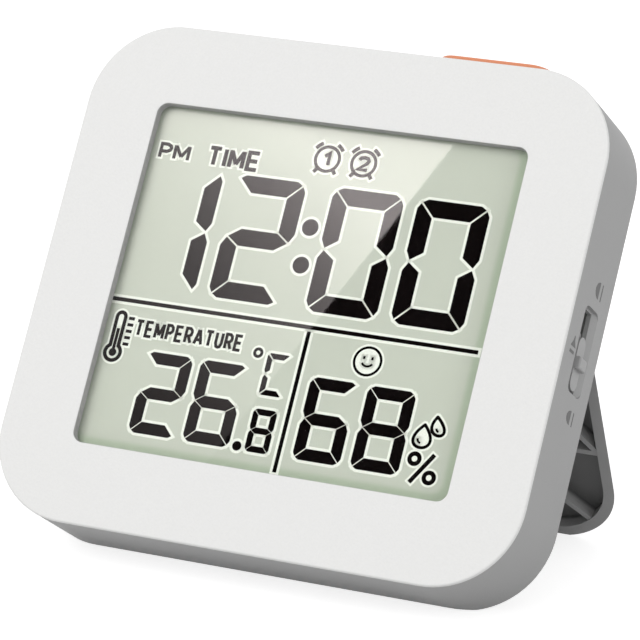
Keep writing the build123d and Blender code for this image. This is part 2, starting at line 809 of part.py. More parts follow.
# Battery door: flush cover with a sprung latch between two slits
door_width = bay_length + 2 * door_ledge - 2 * door_fit
door_height = bay_height + 2 * door_ledge - 2 * door_fit
with BuildPart() as battery_door:
    with BuildSketch(at(case_depth)):
        with Locations((bay_x, bay_y)):
            RectangleRounded(door_width, door_height, door_corner - door_fit)
        with Locations((bay_x, bay_y - door_height / 2)):
            with GridLocations(latch_width, 0, 2, 1):
                Rectangle(latch_slit, latch_length, align=(Align.CENTER, Align.MIN), mode=Mode.SUBTRACT)
    extrude(amount=door_thickness)


def battery(y, nub_side):
    """AAA cell lying along x, with its positive nub on one side."""
    if nub_side > 0:
        nub_end = bay_right - contact_thickness - dimple_height
    else:
        nub_end = bay_left + contact_thickness + dimple_height
    face = Plane(point(nub_end, y, cell_depth), CASE.y_dir, -nub_side * CASE.x_dir)
    with BuildPart() as cell:
        with BuildSketch(face.offset(nub_length)):
            Circle(cell_diameter / 2)
        extrude(amount=cell_length)
        fillet(cell.edges(), cell_edge_radius)
        with BuildSketch(face):
            Circle(nub_diameter / 2)
        extrude(amount=nub_length)
    return cell.part


pieces["battery_upper"] = battery(upper_cell_y, 1)
pieces["battery_lower"] = battery(lower_cell_y, -1)


def end_plane(side):
    """Plane on the end wall of the bay at the height of the cells, looking into the bay."""
    x = bay_right if side > 0 else bay_left
    return Plane(point(x, 0, cell_depth), CASE.y_dir, -side * CASE.x_dir)


def leaf_section(side):
    """Plane through the cells' axes in which a leaf spring bows out of its plate."""
    x = bay_right if side > 0 else bay_left
    return Plane(point(x, 0, cell_depth), -side * CASE.x_dir, -side * CASE.z_dir)


def bay_contact(side, plate_y, plate_height, dimple_y, leaf_y, tail_y):
    """Stamped contact: plate, dimple for a nub, bowed leaf for a flat end, tail out to the board."""
    plate = end_plane(side)
    with BuildPart() as contact:
        with BuildSketch(plate):
            with Locations((plate_y, 0)):
                Rectangle(plate_height, contact_width)
        extrude(amount=contact_thickness)
        for y in dimple_y:
            with BuildSketch(plate.offset(contact_thickness)):
                with Locations((y, 0)):
                    Circle(dimple_radius)
            extrude(amount=dimple_height)
        for y in leaf_y:
            with BuildSketch(leaf_section(side)):
                with BuildLine():
                    reach = contact_thickness + leaf_height - contact_thickness / 2
                    ThreePointArc(
                        (contact_thickness / 2, y - contact_width / 2 + contact_thickness),
                        (reach, y),
                        (contact_thickness / 2, y + contact_width / 2 - contact_thickness),
                    )
                trace(line_width=contact_thickness)
            extrude(amount=leaf_width / 2, both=True)
        for y in tail_y:
            with BuildSketch(at(board_back)):
                with Locations((bay_right - contact_thickness, y)):
                    Rectangle(tail_length, tail_width, align=(Align.MIN, Align.CENTER))
            extrude(amount=-contact_thickness)
    return contact.part


bridge_height = cell_spacing + contact_width
pieces["positive_contact"] = bay_contact(1, upper_cell_y, contact_width, [upper_cell_y], [], [upper_cell_y])
pieces["negative_contact"] = bay_contact(1, lower_cell_y, contact_width, [], [lower_cell_y], [lower_cell_y])
pieces["bridge_contact"] = bay_contact(-1, bay_y, bridge_height, [lower_cell_y], [upper_cell_y], [])

# Piezo sounder glued to the back, over the sound holes
with BuildPart() as buzzer_plate:
    with BuildSketch(at(back_inside)):
        with Locations((buzzer_x, buzzer_y)):
            Circle(buzzer_radius)
    extrude(amount=buzzer_thickness)

with BuildPart() as buzzer_ceramic:
    with BuildSketch(at(back_inside - buzzer_thickness)):
        with Locations((buzzer_x, buzzer_y)):
            Circle(ceramic_radius)
    extrude(amount=buzzer_thickness)

# Two leads from the sounder to the sensor wing of the board
lead_start = back_inside - 2 * buzzer_thickness
lead_depth = (lead_start + board_back) / 2
lead_end_y = sensor_wing_top - lead_inset
with BuildPart() as buzzer_leads:
    for side in (-1, 1):
        lead_x = buzzer_x + side * lead_spread / 2
        with BuildLine() as route:
            FilletPolyline(
                point(lead_x, buzzer_y, lead_start),
                point(lead_x, buzzer_y, lead_depth),
                point(lead_x, lead_end_y, lead_depth),
                point(lead_x, lead_end_y, board_back),
                radius=lead_bend,
            )
        with BuildSketch(Plane(point(lead_x, buzzer_y, lead_start), CASE.x_dir, CASE.z_dir)):
            Circle(lead_radius)
        sweep(path=route.line)


def screws(points, seat, length):
    """Pan-head screws at several points, with their heads seated at a depth."""
    with BuildPart() as group:
        with BuildSketch(at(seat)):
            with Locations(*points):
                Circle(screw_head_radius)
        extrude(amount=-screw_head_height)
        with BuildSketch(at(seat)):
            with Locations(*points):
                Circle(screw_radius)
        extrude(amount=length)
    return group.part


pieces["case_screws"] = screws(case_screw_points, screw_seat, case_screw_length)
pieces["pcb_screws"] = screws(board_screw_points, board_back, board_screw_length)

pieces["front_bezel"] = front_bezel.part
pieces["lens_window"] = lens_window.part
pieces["lcd_front_glass"] = lcd_front_glass.part
pieces["lcd_rear_glass"] = lcd_rear_glass.part
pieces["lcd_reflector"] = lcd_reflector.part
pieces["lcd_holder"] = lcd_holder.part
pieces["zebra_strip"] = zebra_strip.part
pieces["main_pcb"] = main_pcb.part
pieces["driver_chip"] = driver_chip.part
pieces["crystal"] = crystal.part
pieces["capacitor"] = capacitor.part
pieces["humidity_sensor"] = humidity_sensor.part
pieces["thermistor"] = thermistor.part
pieces["snooze_button"] = snooze_button.part
pieces["alarm_switch_body"] = alarm_switch_body.part
pieces["alarm_switch_lever"] = alarm_switch_lever.part
pieces["alarm_switch_knob"] = alarm_switch_knob.part
pieces["rear_case"] = rear_case.part
pieces["stand"] = stand.part
pieces["battery_door"] = battery_door.part
pieces["buzzer_plate"] = buzzer_plate.part
pieces["buzzer_ceramic"] = buzzer_ceramic.part
pieces["buzzer_leads"] = buzzer_leads.part

# One file for each piece
os.makedirs("parts", exist_ok=True)
for name, piece in pieces.items():
    piece.label = name
    export_step(piece, f"parts/{name}.step")
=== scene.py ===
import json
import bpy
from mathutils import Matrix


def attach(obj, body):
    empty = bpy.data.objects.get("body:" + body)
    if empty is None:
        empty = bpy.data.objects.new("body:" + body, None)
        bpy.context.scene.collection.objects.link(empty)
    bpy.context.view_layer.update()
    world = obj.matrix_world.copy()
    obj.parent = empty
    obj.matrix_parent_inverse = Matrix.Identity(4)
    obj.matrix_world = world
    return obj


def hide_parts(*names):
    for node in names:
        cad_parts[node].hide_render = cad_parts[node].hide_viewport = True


bl_info = {
    "name": "Desk clock with thermometer and hygrometer",
    "version": (1, 0, 0),
    "blender": (4, 5, 0),
    "location": "3D View > Sidebar > Clock",
    "description": "Finishes, display, marks and stage for the solids of a leaning desk clock",
    "category": "Object",
}

from math import cos, pi, radians, sin

import bmesh
import bpy
from bpy.props import FloatProperty, FloatVectorProperty, IntProperty, PointerProperty, StringProperty
from mathutils import Matrix, Quaternion, Vector

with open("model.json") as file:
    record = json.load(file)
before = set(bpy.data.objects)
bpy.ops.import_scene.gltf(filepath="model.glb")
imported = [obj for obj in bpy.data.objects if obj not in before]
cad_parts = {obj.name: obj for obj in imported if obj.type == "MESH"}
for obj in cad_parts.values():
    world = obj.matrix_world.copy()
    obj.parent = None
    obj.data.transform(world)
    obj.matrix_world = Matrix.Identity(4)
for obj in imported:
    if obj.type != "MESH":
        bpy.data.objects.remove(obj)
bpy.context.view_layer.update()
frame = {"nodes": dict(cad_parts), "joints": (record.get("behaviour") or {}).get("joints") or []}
MM = 0.001

# Axes of the leaning case, from the joints that press along them
joint_axes = {joint["name"]: Vector(joint["axis"]) for joint in frame["joints"]}
RIGHTWARD = Vector((1, 0, 0))
UPWARD = -joint_axes["snooze_press"]
OUTWARD = joint_axes["mode_key_press"]


def reach(node, axis):
    """Lowest and highest place of a node along an axis."""
    places = [vertex.co.dot(axis) for vertex in frame["nodes"][node].data.vertices]
    return min(places), max(places)


def middle(node, axis):
    """Place half way through a node along an axis."""
    return sum(reach(node, axis)) / 2


def plane(x_axis, y_axis, place):
    """Matrix of a flat work plane: its two axes, its normal and its origin."""
    matrix = Matrix((x_axis, y_axis, x_axis.cross(y_axis))).transposed().to_4x4()
    matrix.translation = place
    return matrix


def case_point(x, y, outward):
    """Point at x and y from the middle of the face, at a place along the outward axis."""
    return RIGHTWARD * x + UPWARD * (FACE_MIDDLE + y) + OUTWARD * outward


FACE_MIDDLE = middle("front_bezel", UPWARD)
FACE_PLACE = reach("front_bezel", OUTWARD)[1]
GLASS_PLACE = reach("lcd_front_glass", OUTWARD)[1]
BACK_PLACE = reach("rear_case", OUTWARD)[0]
SIDE_PLACE = reach("rear_case", RIGHTWARD)[1]
SIGNS_MIDDLE = (0.6 * MM, -0.34 * MM)

# Work planes that the added detail lies on
DISPLAY = plane(RIGHTWARD, UPWARD, case_point(*SIGNS_MIDDLE, GLASS_PLACE))
SIDE = plane(-OUTWARD, UPWARD, case_point(SIDE_PLACE, 0, FACE_PLACE))
BACK = plane(-RIGHTWARD, UPWARD, case_point(0, 0, BACK_PLACE))


# Settings that a user would change

class ClockColours(bpy.types.PropertyGroup):
    """Colours of the clock as they look on a screen."""

    bezel: FloatVectorProperty(
        name="Front bezel", description="White front",
        subtype="COLOR_GAMMA", default=(0.925, 0.925, 0.92),
    )
    case: FloatVectorProperty(
        name="Rear case", description="Grey rear case",
        subtype="COLOR_GAMMA", default=(0.65, 0.65, 0.65),
    )
    stand: FloatVectorProperty(
        name="Stand", description="Grey stand",
        subtype="COLOR_GAMMA", default=(0.7, 0.7, 0.7),
    )
    snooze: FloatVectorProperty(
        name="Snooze", description="Orange button",
        subtype="COLOR_GAMMA", default=(0.9, 0.57, 0.415),
    )
    display: FloatVectorProperty(
        name="Display", description="Ground of the display",
        subtype="COLOR_GAMMA", default=(0.788, 0.805, 0.757),
    )
    # Painted shade: deeper colour of the ground along the edge of the window
    edge: FloatVectorProperty(
        name="Display edge", description="Ground along the edge of the window",
        subtype="COLOR_GAMMA", default=(0.715, 0.76, 0.68),
    )
    halo: FloatVectorProperty(
        name="Clear border", description="Border round the signs",
        subtype="COLOR_GAMMA", default=(0.955, 0.965, 0.93),
    )
    ink: FloatVectorProperty(
        name="Signs", description="Dark signs of the display",
        subtype="COLOR_GAMMA", default=(0.06, 0.045, 0.045),
    )


class ClockReadings(bpy.types.PropertyGroup):
    """What the display shows."""

    hour: StringProperty(name="Hours", description="Two figures", default="12")
    minute: StringProperty(name="Minutes", description="Two figures", default="00")
    temperature: StringProperty(name="Degrees", description="Two figures", default="26")
    tenth: StringProperty(name="Tenths", description="One figure", default="8")
    humidity: StringProperty(name="Humidity", description="Two figures", default="68")


class ClockSizes(bpy.types.PropertyGroup):
    """Sizes of the fine detail, in metres."""

    sign_height: FloatProperty(
        name="Sign height", description="How far signs stand above the glass",
        default=0.00006, unit="LENGTH",
    )
    halo_height: FloatProperty(
        name="Border height", description="How far borders stand above the glass",
        default=0.00003, unit="LENGTH",
    )
    halo_width: FloatProperty(
        name="Border width", description="Clear border round a sign, in millimetres",
        default=0.55,
    )
    line_border: FloatProperty(
        name="Line border", description="Clear border round a thin sign, in millimetres",
        default=0.42,
    )
    window_width: FloatProperty(
        name="Window width", description="Width of the bezel's opening",
        default=0.0786, unit="LENGTH",
    )
    window_height: FloatProperty(
        name="Window height", description="Height of the bezel's opening",
        default=0.0701, unit="LENGTH",
    )
    window_corner: FloatProperty(
        name="Window corner", description="Corner radius of the bezel's opening",
        default=0.0022, unit="LENGTH",
    )
    grain: FloatProperty(
        name="Grain", description="Size of the moulded grain",
        default=0.00045, unit="LENGTH",
    )
    head_radius: FloatProperty(
        name="Screw head", description="Radius of a screw head",
        default=0.0021, unit="LENGTH",
    )
    head_height: FloatProperty(
        name="Screw head height", description="Height of a screw head",
        default=0.0013, unit="LENGTH",
    )
    shank_radius: FloatProperty(
        name="Screw shank", description="Radius of a screw shank",
        default=0.0011, unit="LENGTH",
    )
    ridge_count: IntProperty(
        name="Latch ridges", description="Ridges on the battery door's latch",
        default=4, min=2,
    )


class ClockStage(bpy.types.PropertyGroup):
    """Camera and light."""

    aim: FloatVectorProperty(
        name="Aim", description="Point that the camera looks at",
        default=(0.004472, 0.009947, 0.049246), subtype="TRANSLATION",
    )
    distance: FloatProperty(name="Distance", description="Camera to aim", default=0.7258, unit="LENGTH")
    azimuth: FloatProperty(
        name="Azimuth", description="Turn to the right of the front",
        default=radians(24.293), subtype="ANGLE",
    )
    elevation: FloatProperty(
        name="Elevation", description="Height of view",
        default=radians(15.884), subtype="ANGLE",
    )
    roll: FloatProperty(
        name="Roll", description="Turn about the line of sight",
        default=radians(1.419), subtype="ANGLE",
    )
    lens: FloatProperty(name="Lens", description="Focal length in millimetres", default=213.09)
    ambient: FloatProperty(name="Ambient", description="Light from all round", default=0.71)
    key: FloatProperty(name="Key", description="Power of the main soft box in watts", default=10.8)
    fill: FloatProperty(name="Fill", description="Power of the side soft box in watts", default=3.8)
    glare: FloatProperty(
        name="Glare", description="Brightness of the card that the window reflects",
        default=1.5,
    )


# Flat outlines, in millimetres

def grown(outline, amount):
    """Convex outline, counter-clockwise, with each side moved out by an amount."""
    count = len(outline)
    normals = []
    for index in range(count):
        along = (Vector(outline[(index + 1) % count]) - Vector(outline[index])).normalized()
        normals.append(Vector((along.y, -along.x)))
    corners = []
    for index in range(count):
        before, after = normals[index - 1], normals[index]
        corners.append(Vector(outline[index]) + (before + after) / (1 + before.dot(after)) * amount)
    return corners


def box_outline(left, bottom, right, top):
    """Rectangle as an outline."""
    return [(left, bottom), (right, bottom), (right, top), (left, top)]


def turned_left(outline):
    """Outline in counter-clockwise order."""
    area = sum(a[0] * b[1] - b[0] * a[1] for a, b in zip(outline, [*outline[1:], outline[0]]))
    return outline if area > 0 else outline[::-1]


def arc(centre, radius, start, end, count):
    """Points along a circular arc, with angles in degrees."""
    angles = [radians(start + (end - start) * index / count) for index in range(count + 1)]
    return [(centre[0] + radius * cos(angle), centre[1] + radius * sin(angle)) for angle in angles]


def disc(centre, radius, count=28):
    """Filled circle as an outline."""
    return arc(centre, radius, 0, 360, count)[:-1]


def line_sides(points, width, closed):
    """Points along the left and the right side of a line of even width."""
    points = [Vector(point) for point in points]
    count = len(points)
    left, right = [], []
    for index, point in enumerate(points):
        before = points[index - 1] if closed or index else point
        after = points[(index + 1) % count] if closed or index < count - 1 else point
        first = (point - before).normalized() if point != before else (after - point).normalized()
        second = (after - point).normalized() if point != after else first
        normal = (Vector((-first.y, first.x)) + Vector((-second.y, second.x))).normalized()
        reach_out = width / 2 / max(0.5, normal.dot(Vector((-second.y, second.x))))
        left.append(point + normal * reach_out)
        right.append(point - normal * reach_out)
    return left, right


def ribbon(points, width, closed=False):
    """Quads of a line of even width that follows points."""
    left, right = line_sides(points, width, closed)
    count = len(left)
    quads = []
    for index in range(count if closed else count - 1):
        following = (index + 1) % count
        quads.append([right[index], right[following], left[following], left[index]])
    return quads


def lengthened(points, amount):
    """Open line with both its ends drawn out."""
    first, second, before, last = (Vector(points[index]) for index in (0, 1, -2, -1))
    start = first + (first - second).normalized() * amount
    end = last + (last - before).normalized() * amount
    return [start, *points[1:-1], end]


BOWL = [(0, 0), (0, 1), (0.62, 1), (0.93, 0.88), (1, 0.73), (0.93, 0.58), (0.62, 0.46), (0, 0.46)]
LETTERS = {
    "A": (0.95, [[(0, 0), (0.45, 1)], [(1, 0), (0.55, 1)], [(0.2, 0.3), (0.8, 0.3)]]),
    "E": (0.8, [[(1, 1), (0, 1), (0, 0), (1, 0)], [(0, 0.5), (0.92, 0.5)]]),
    "I": (0.0, [[(0, 0), (0, 1)]]),
    "M": (1.05, [[(0, 0), (0, 1)], [(1, 0), (1, 1)], [(0.04, 0.95), (0.5, 0.2)], [(0.96, 0.95), (0.5, 0.2)]]),
    "P": (0.76, [BOWL]),
    "R": (0.8, [BOWL, [(0.5, 0.46), (1, 0)]]),
    "T": (0.9, [[(0, 1), (1, 1)], [(0.5, 1), (0.5, 0)]]),
    "U": (0.8, [[(0, 1), (0, 0.28), (0.2, 0.04), (0.5, 0), (0.8, 0.04), (1, 0.28), (1, 1)]]),
    "1": (0.4, [[(0, 0.7), (1, 1), (1, 0)]]),
    "2": (0.7, [[(0, 0.76), (0.14, 0.94), (0.5, 1), (0.86, 0.94), (1, 0.74), (0.86, 0.52), (0, 0), (1, 0)]]),
}


# Clear space between two letters, in strokes
LETTER_SPACING = 1.42


def word_lines(text, box, stroke):
    """Lines of plain stroke letters that fill a box of left, bottom, right and top."""
    left, bottom, right, top = box
    spacing = stroke * LETTER_SPACING
    height = top - bottom - stroke
    scale = (right - left - stroke - spacing * (len(text) - 1)) / sum(LETTERS[letter][0] for letter in text)
    lines, place = [], left + stroke / 2
    for letter in text:
        width, strokes = LETTERS[letter]
        for points in strokes:
            placed = [(place + x * width * scale, bottom + stroke / 2 + y * height) for x, y in points]
            lines.append((placed, stroke, False))
        place += width * scale + spacing
    return lines


BARS = {
    "0": "abcdef", "1": "bc", "2": "abged", "3": "abgcd", "4": "fgbc", "5": "afgcd",
    "6": "afgecd", "7": "abc", "8": "abcdefg", "9": "abfgcd", "C": "afed",
}


def figure(sign, left, bottom, width, height, bar, cut, gap):
    """Bars of a seven-bar figure: mitred where they meet, with a thin clear gap between them."""
    mid, tip, corner = height / 2, bar * 0.28, cut * 0.38
    top_bar = [(corner, height - corner), (bar, height - bar), (width - bar, height - bar),
               (width - corner, height - corner), (width - cut, height), (cut, height)]
    upper_left = [(tip, mid), (bar, mid + bar / 2), (bar, height - bar), (corner, height - corner),
                  (0, height - cut), (0, mid + bar / 2)]
    cross_bar = [(tip, mid), (bar, mid - bar / 2), (width - bar, mid - bar / 2), (width - tip, mid),
                 (width - bar, mid + bar / 2), (bar, mid + bar / 2)]

    def turned(outline, flip_x, flip_y):
        flipped = [(width - x if flip_x else x, height - y if flip_y else y) for x, y in outline]
        return flipped[::-1] if flip_x != flip_y else flipped

    bars = {
        "a": top_bar, "d": turned(top_bar, False, True), "g": cross_bar,
        "f": upper_left, "b": turned(upper_left, True, False),
        "e": turned(upper_left, False, True), "c": turned(upper_left, True, True),
    }
    return [[(x + left, y + bottom) for x, y in grown(bars[name], -gap / 2)] for name in BARS[sign]]


# Meshes

MERGE_DISTANCE = 0.0005 * MM


def placed(name, data):
    """New object of some data, linked to the scene."""
    thing = bpy.data.objects.new(name, data)
    bpy.context.scene.collection.objects.link(thing)
    return thing


def new_piece(name, mesh, material, body, stands_for=None):
    """Makes the object of a finished mesh, which rides on a body and takes a slot's finish."""
    mesh.materials.clear()
    mesh.materials.append(material)
    piece = placed(name, mesh)
    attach(piece, body)
    if stands_for:
        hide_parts(stands_for)


def add_plates(shape, outlines, height):
    """Adds thin closed plates of the outlines, standing on the plane z = 0."""
    faces = []
    for outline in outlines:
        corners = [shape.verts.new((x * MM, y * MM, 0)) for x, y in turned_left(outline)]
        faces.append(shape.faces.new(corners))
    corners = [vertex for face in faces for vertex in face.verts]
    bmesh.ops.remove_doubles(shape, verts=corners, dist=MERGE_DISTANCE)
    faces = [face for face in faces if face.is_valid]
    raised = bmesh.ops.extrude_face_region(shape, geom=faces, use_keep_orig=True)["geom"]
    lifted = [part for part in raised if isinstance(part, bmesh.types.BMVert)]
    bmesh.ops.translate(shape, verts=lifted, vec=(0, 0, height))


def finished_mesh(shape, name, work_plane):
    """Mesh of a shape, with its faces outwards and its place on a work plane applied."""
    bmesh.ops.recalc_face_normals(shape, faces=shape.faces[:])
    mesh = bpy.data.meshes.new(name)
    shape.to_mesh(mesh)
    shape.free()
    mesh.transform(work_plane)
    return mesh


def baked(tree, base, inputs, name):
    """Plain mesh of what a Geometry Nodes tree makes of a base mesh with the given inputs."""
    carrier = placed(name, base)
    modifier = carrier.modifiers.new(tree.name, "NODES")
    modifier.node_group = tree
    sockets = {item.name: item.identifier for item in tree.interface.items_tree if item.in_out == "INPUT"}
    for label, value in inputs.items():
        modifier[sockets[label]] = value
    bpy.context.view_layer.update()
    mesh = bpy.data.meshes.new_from_object(carrier.evaluated_get(bpy.context.evaluated_depsgraph_get()))
    bpy.data.objects.remove(carrier)
    mesh.name = name
    return mesh


# Nodes

def new_tree(name, kind, inputs, outputs):
    """New node group with named sockets, the sockets of what it is given, and its output node."""
    tree = bpy.data.node_groups.new(name, kind)
    for in_out, sockets in (("INPUT", inputs), ("OUTPUT", outputs)):
        for label, socket in sockets.items():
            tree.interface.new_socket(label, in_out=in_out, socket_type=f"NodeSocket{socket}")
    return tree, tree.nodes.new("NodeGroupInput").outputs, tree.nodes.new("NodeGroupOutput")


def feed(node, inputs):
    """Gives a node's inputs plain values, or links from other nodes."""
    for label, value in inputs.items():
        if isinstance(value, bpy.types.NodeSocket):
            node.id_data.links.new(value, node.inputs[label])
        else:
            node.inputs[label].default_value = value


def new_node(tree, kind, inputs=None, **settings):
    """New node with its settings, and with its inputs set or linked."""
    node = tree.nodes.new(kind)
    for label, value in settings.items():
        setattr(node, label, value)
    feed(node, inputs or {})
    return node


def set_copies(tree, points, pattern, material, result):
    """Ends a tree: a copy of a pattern on each point, made real and given its material."""
    place = new_node(tree, "GeometryNodeInstanceOnPoints", {"Points": points, "Instance": pattern})
    real = new_node(tree, "GeometryNodeRealizeInstances", {"Geometry": place.outputs["Instances"]})
    inputs = {"Geometry": real.outputs["Geometry"], "Material": material}
    feed(result, {"Geometry": new_node(tree, "GeometryNodeSetMaterial", inputs).outputs["Geometry"]})


def bar_row_tree():
    """Tree that lays a row of like bars: ticks of a scale, or ridges for a finger."""
    name = "bar_row"
    if name in bpy.data.node_groups:
        return bpy.data.node_groups[name]
    inputs = {
        "Geometry": "Geometry", "Count": "Int", "Start": "Vector", "Step": "Vector", "Bar": "Vector",
        "Material": "Material",
    }
    tree, given, result = new_tree(name, "GeometryNodeTree", inputs, {"Geometry": "Geometry"})
    row = {"Count": given["Count"], "Start Location": given["Start"], "Offset": given["Step"]}
    line = new_node(tree, "GeometryNodeMeshLine", row)
    bar = new_node(tree, "GeometryNodeMeshCube", {"Size": given["Bar"]})
    set_copies(tree, line.outputs["Mesh"], bar.outputs["Mesh"], given["Material"], result)
    return tree


def fastener_tree():
    """Tree that sets one fastener on each point of a mesh."""
    inputs = {"Geometry": "Geometry", "Fastener": "Object", "Material": "Material"}
    tree, given, result = new_tree("fasteners", "GeometryNodeTree", inputs, {"Geometry": "Geometry"})
    source = new_node(tree, "GeometryNodeObjectInfo", {"Object": given["Fastener"]})
    set_copies(tree, given["Geometry"], source.outputs["Geometry"], given["Material"], result)
    return tree


# Materials

# What a shared group of a finish puts out
FINISH_SOCKETS = {"Colour": "Color", "Roughness": "Float", "Height": "Float"}

# Height of the lines in drawn metal and of the tracks on the board
METAL_RELIEF, TRACK_RELIEF = 0.004 * MM, 0.03 * MM

# Share of its colour that the painted shade leaves to the wall round the window, and where the painted shade
# starts and ends
WALL_PAINTED_SHADE, WALL_START, WALL_END = 0.71, 0.02 * MM, 0.14 * MM

# The same for the painted shade in the hollow of the stand, by the distance from its floor
HOLLOW_PAINTED_SHADE, HOLLOW_START, HOLLOW_END = 0.64, 0.3 * MM, 1.3 * MM


def screen(colour):
    """Linear colour of a colour given as it looks on a screen."""
    return (*[c / 12.92 if c <= 0.04045 else ((c + 0.055) / 1.055) ** 2.4 for c in colour], 1)


def darker(colour, share):
    """Share of a colour, for painted shade."""
    return [c * share for c in colour]


def own_place(tree):
    """Place of a point on its own piece."""
    return new_node(tree, "ShaderNodeTexCoord").outputs["Object"]


def math_node(tree, operation, first, second=0):
    """Result of a sum on one or two values or sockets."""
    return new_node(tree, "ShaderNodeMath", {0: first, 1: second}, operation=operation).outputs["Value"]


def spread_about(tree, noise, amount, base):
    """Base value moved up and down by a noise between 0 and 1."""
    swing = math_node(tree, "SUBTRACT", noise, 0.5)
    return math_node(tree, "ADD", base, math_node(tree, "MULTIPLY", swing, amount))


def noise_node(tree, vector, scale, detail):
    """Value of a noise texture on a vector."""
    inputs = {"Vector": vector, "Scale": scale, "Detail": detail}
    return new_node(tree, "ShaderNodeTexNoise", inputs).outputs["Fac"]


def tinted(tree, colour, factor):
    """Colour made lighter or darker by a factor."""
    inputs = {"Vector": colour, "Scale": factor}
    return new_node(tree, "ShaderNodeVectorMath", inputs, operation="SCALE").outputs["Vector"]


def end_group(group, given, result, tone, roughness, height):
    """Ends the group of a finish: its colour in a tone, its roughness and its height."""
    feed(result, {"Colour": tinted(group, given["Colour"], tone), "Roughness": roughness, "Height": height})
    return group


def moulded_grain_group():
    """Fine spark-eroded grain of moulded plastic, with slow drifts of tone and sheen."""
    name = "moulded_grain"
    if name in bpy.data.node_groups:
        return bpy.data.node_groups[name]
    inputs = {"Colour": "Color", "Grain": "Float", "Speckle": "Float", "Drift": "Float", "Roughness": "Float"}
    group, given, result = new_tree(name, "ShaderNodeTree", inputs, FINISH_SOCKETS)
    where = own_place(group)
    fine = noise_node(group, where, given["Grain"], detail=2)
    slow = noise_node(group, where, scale=28, detail=2)
    tone = spread_about(group, slow, given["Drift"], spread_about(group, fine, given["Speckle"], base=1))
    roughness = spread_about(group, slow, 0.14, given["Roughness"])
    return end_group(group, given, result, tone, roughness, fine)


def drawn_metal_group():
    """Fine lines of rolled and plated metal."""
    name = "drawn_metal"
    if name in bpy.data.node_groups:
        return bpy.data.node_groups[name]
    inputs = {"Colour": "Color", "Roughness": "Float"}
    group, given, result = new_tree(name, "ShaderNodeTree", inputs, FINISH_SOCKETS)
    where = own_place(group)
    stretch = new_node(group, "ShaderNodeMapping", {"Vector": where, "Scale": (250, 4000, 4000)})
    scratches = noise_node(group, stretch.outputs["Vector"], scale=1, detail=3)
    stains = noise_node(group, where, scale=300, detail=3)
    tone = spread_about(group, stains, 0.25, spread_about(group, scratches, 0.12, base=1))
    roughness = spread_about(group, stains, 0.2, given["Roughness"])
    return end_group(group, given, result, tone, roughness, scratches)


def new_material(name, plain=None):
    """Material of a Principled shader with plain values on it, and its tree and shader."""
    material = bpy.data.materials.new(name)
    material.use_nodes = True
    tree = material.node_tree
    tree.nodes.clear()
    shader = new_node(tree, "ShaderNodeBsdfPrincipled", plain)
    new_node(tree, "ShaderNodeOutputMaterial", {"Surface": shader.outputs["BSDF"]})
    return material, tree, shader


def embossed(tree, height, relief):
    """Normal of a fine relief, from a height between 0 and 1."""
    return new_node(tree, "ShaderNodeBump", {"Height": height, "Distance": relief}).outputs["Normal"]


def grouped(tree, shader, group, values, relief):
    """Places a shared group in a material and feeds colour, roughness and relief from it."""
    finish = new_node(tree, "ShaderNodeGroup", node_tree=group)
    feed(finish, values)
    colour, roughness, height = (finish.outputs[label] for label in FINISH_SOCKETS)
    feed(shader, {"Base Color": colour, "Roughness": roughness, "Normal": embossed(tree, height, relief)})


def moulded(name, colour, roughness, grain=0.45 * MM, speckle=0.05, drift=0.03, relief=0.03 * MM, gloss=0.5):
    """Moulded plastic with a fine grain."""
    material, tree, shader = new_material(name, {"Specular IOR Level": gloss})
    values = {
        "Colour": screen(colour), "Grain": 1 / grain, "Speckle": speckle, "Drift": drift, "Roughness": roughness,
    }
    grouped(tree, shader, moulded_grain_group(), values, relief)
    return material


def metal(name, colour, roughness):
    """Rolled or plated metal."""
    material, tree, shader = new_material(name, {"Metallic": 1})
    values = {"Colour": screen(colour), "Roughness": roughness}
    grouped(tree, shader, drawn_metal_group(), values, METAL_RELIEF)
    return material


def along(tree, where, axis):
    """Place of a point along an axis."""
    return new_node(tree, "ShaderNodeVectorMath", {0: where, 1: axis}, operation="DOT_PRODUCT").outputs["Value"]


def banded(name, axis, stops, roughness):
    """Plastic or ink in plain bands along an axis: each stop is a place in metres and a colour."""
    material, tree, shader = new_material(name)
    where = own_place(tree)
    start, end = stops[0][0], stops[-1][0] + MM
    past_start = math_node(tree, "SUBTRACT", along(tree, where, axis), start)
    ramp = new_node(tree, "ShaderNodeValToRGB", {"Fac": math_node(tree, "DIVIDE", past_start, end - start)})
    bands = ramp.color_ramp
    bands.interpolation = "CONSTANT"
    while len(bands.elements) < len(stops):
        bands.elements.new(1)
    for element, (place, colour) in zip(bands.elements, stops):
        element.position = (place - start) / (end - start)
        element.color = screen(colour)
    fine = noise_node(tree, where, scale=900, detail=2)
    tone = spread_about(tree, fine, 0.12, base=1)
    feed(shader, {
        "Base Color": tinted(tree, ramp.outputs["Color"], tone),
        "Roughness": spread_about(tree, fine, 0.15, roughness),
    })
    return material


def clear_window(name):
    """Polished clear plastic that lets light through to the display behind it."""
    plain = {"Base Color": (0.985, 0.995, 0.985, 1), "Transmission Weight": 1, "IOR": 1.49}
    material, tree, shader = new_material(name, plain)
    smear = noise_node(tree, own_place(tree), scale=35, detail=3)
    feed(shader, {"Roughness": spread_about(tree, smear, 0.02, base=0.012)})
    shadow_ray = new_node(tree, "ShaderNodeLightPath").outputs["Is Shadow Ray"]
    open_way = new_node(tree, "ShaderNodeBsdfTransparent").outputs["BSDF"]
    mix = new_node(tree, "ShaderNodeMixShader", {"Fac": shadow_ray, 1: shader.outputs["BSDF"], 2: open_way})
    output = next(node for node in tree.nodes if node.type == "OUTPUT_MATERIAL")
    feed(output, {"Surface": mix.outputs["Shader"]})
    return material


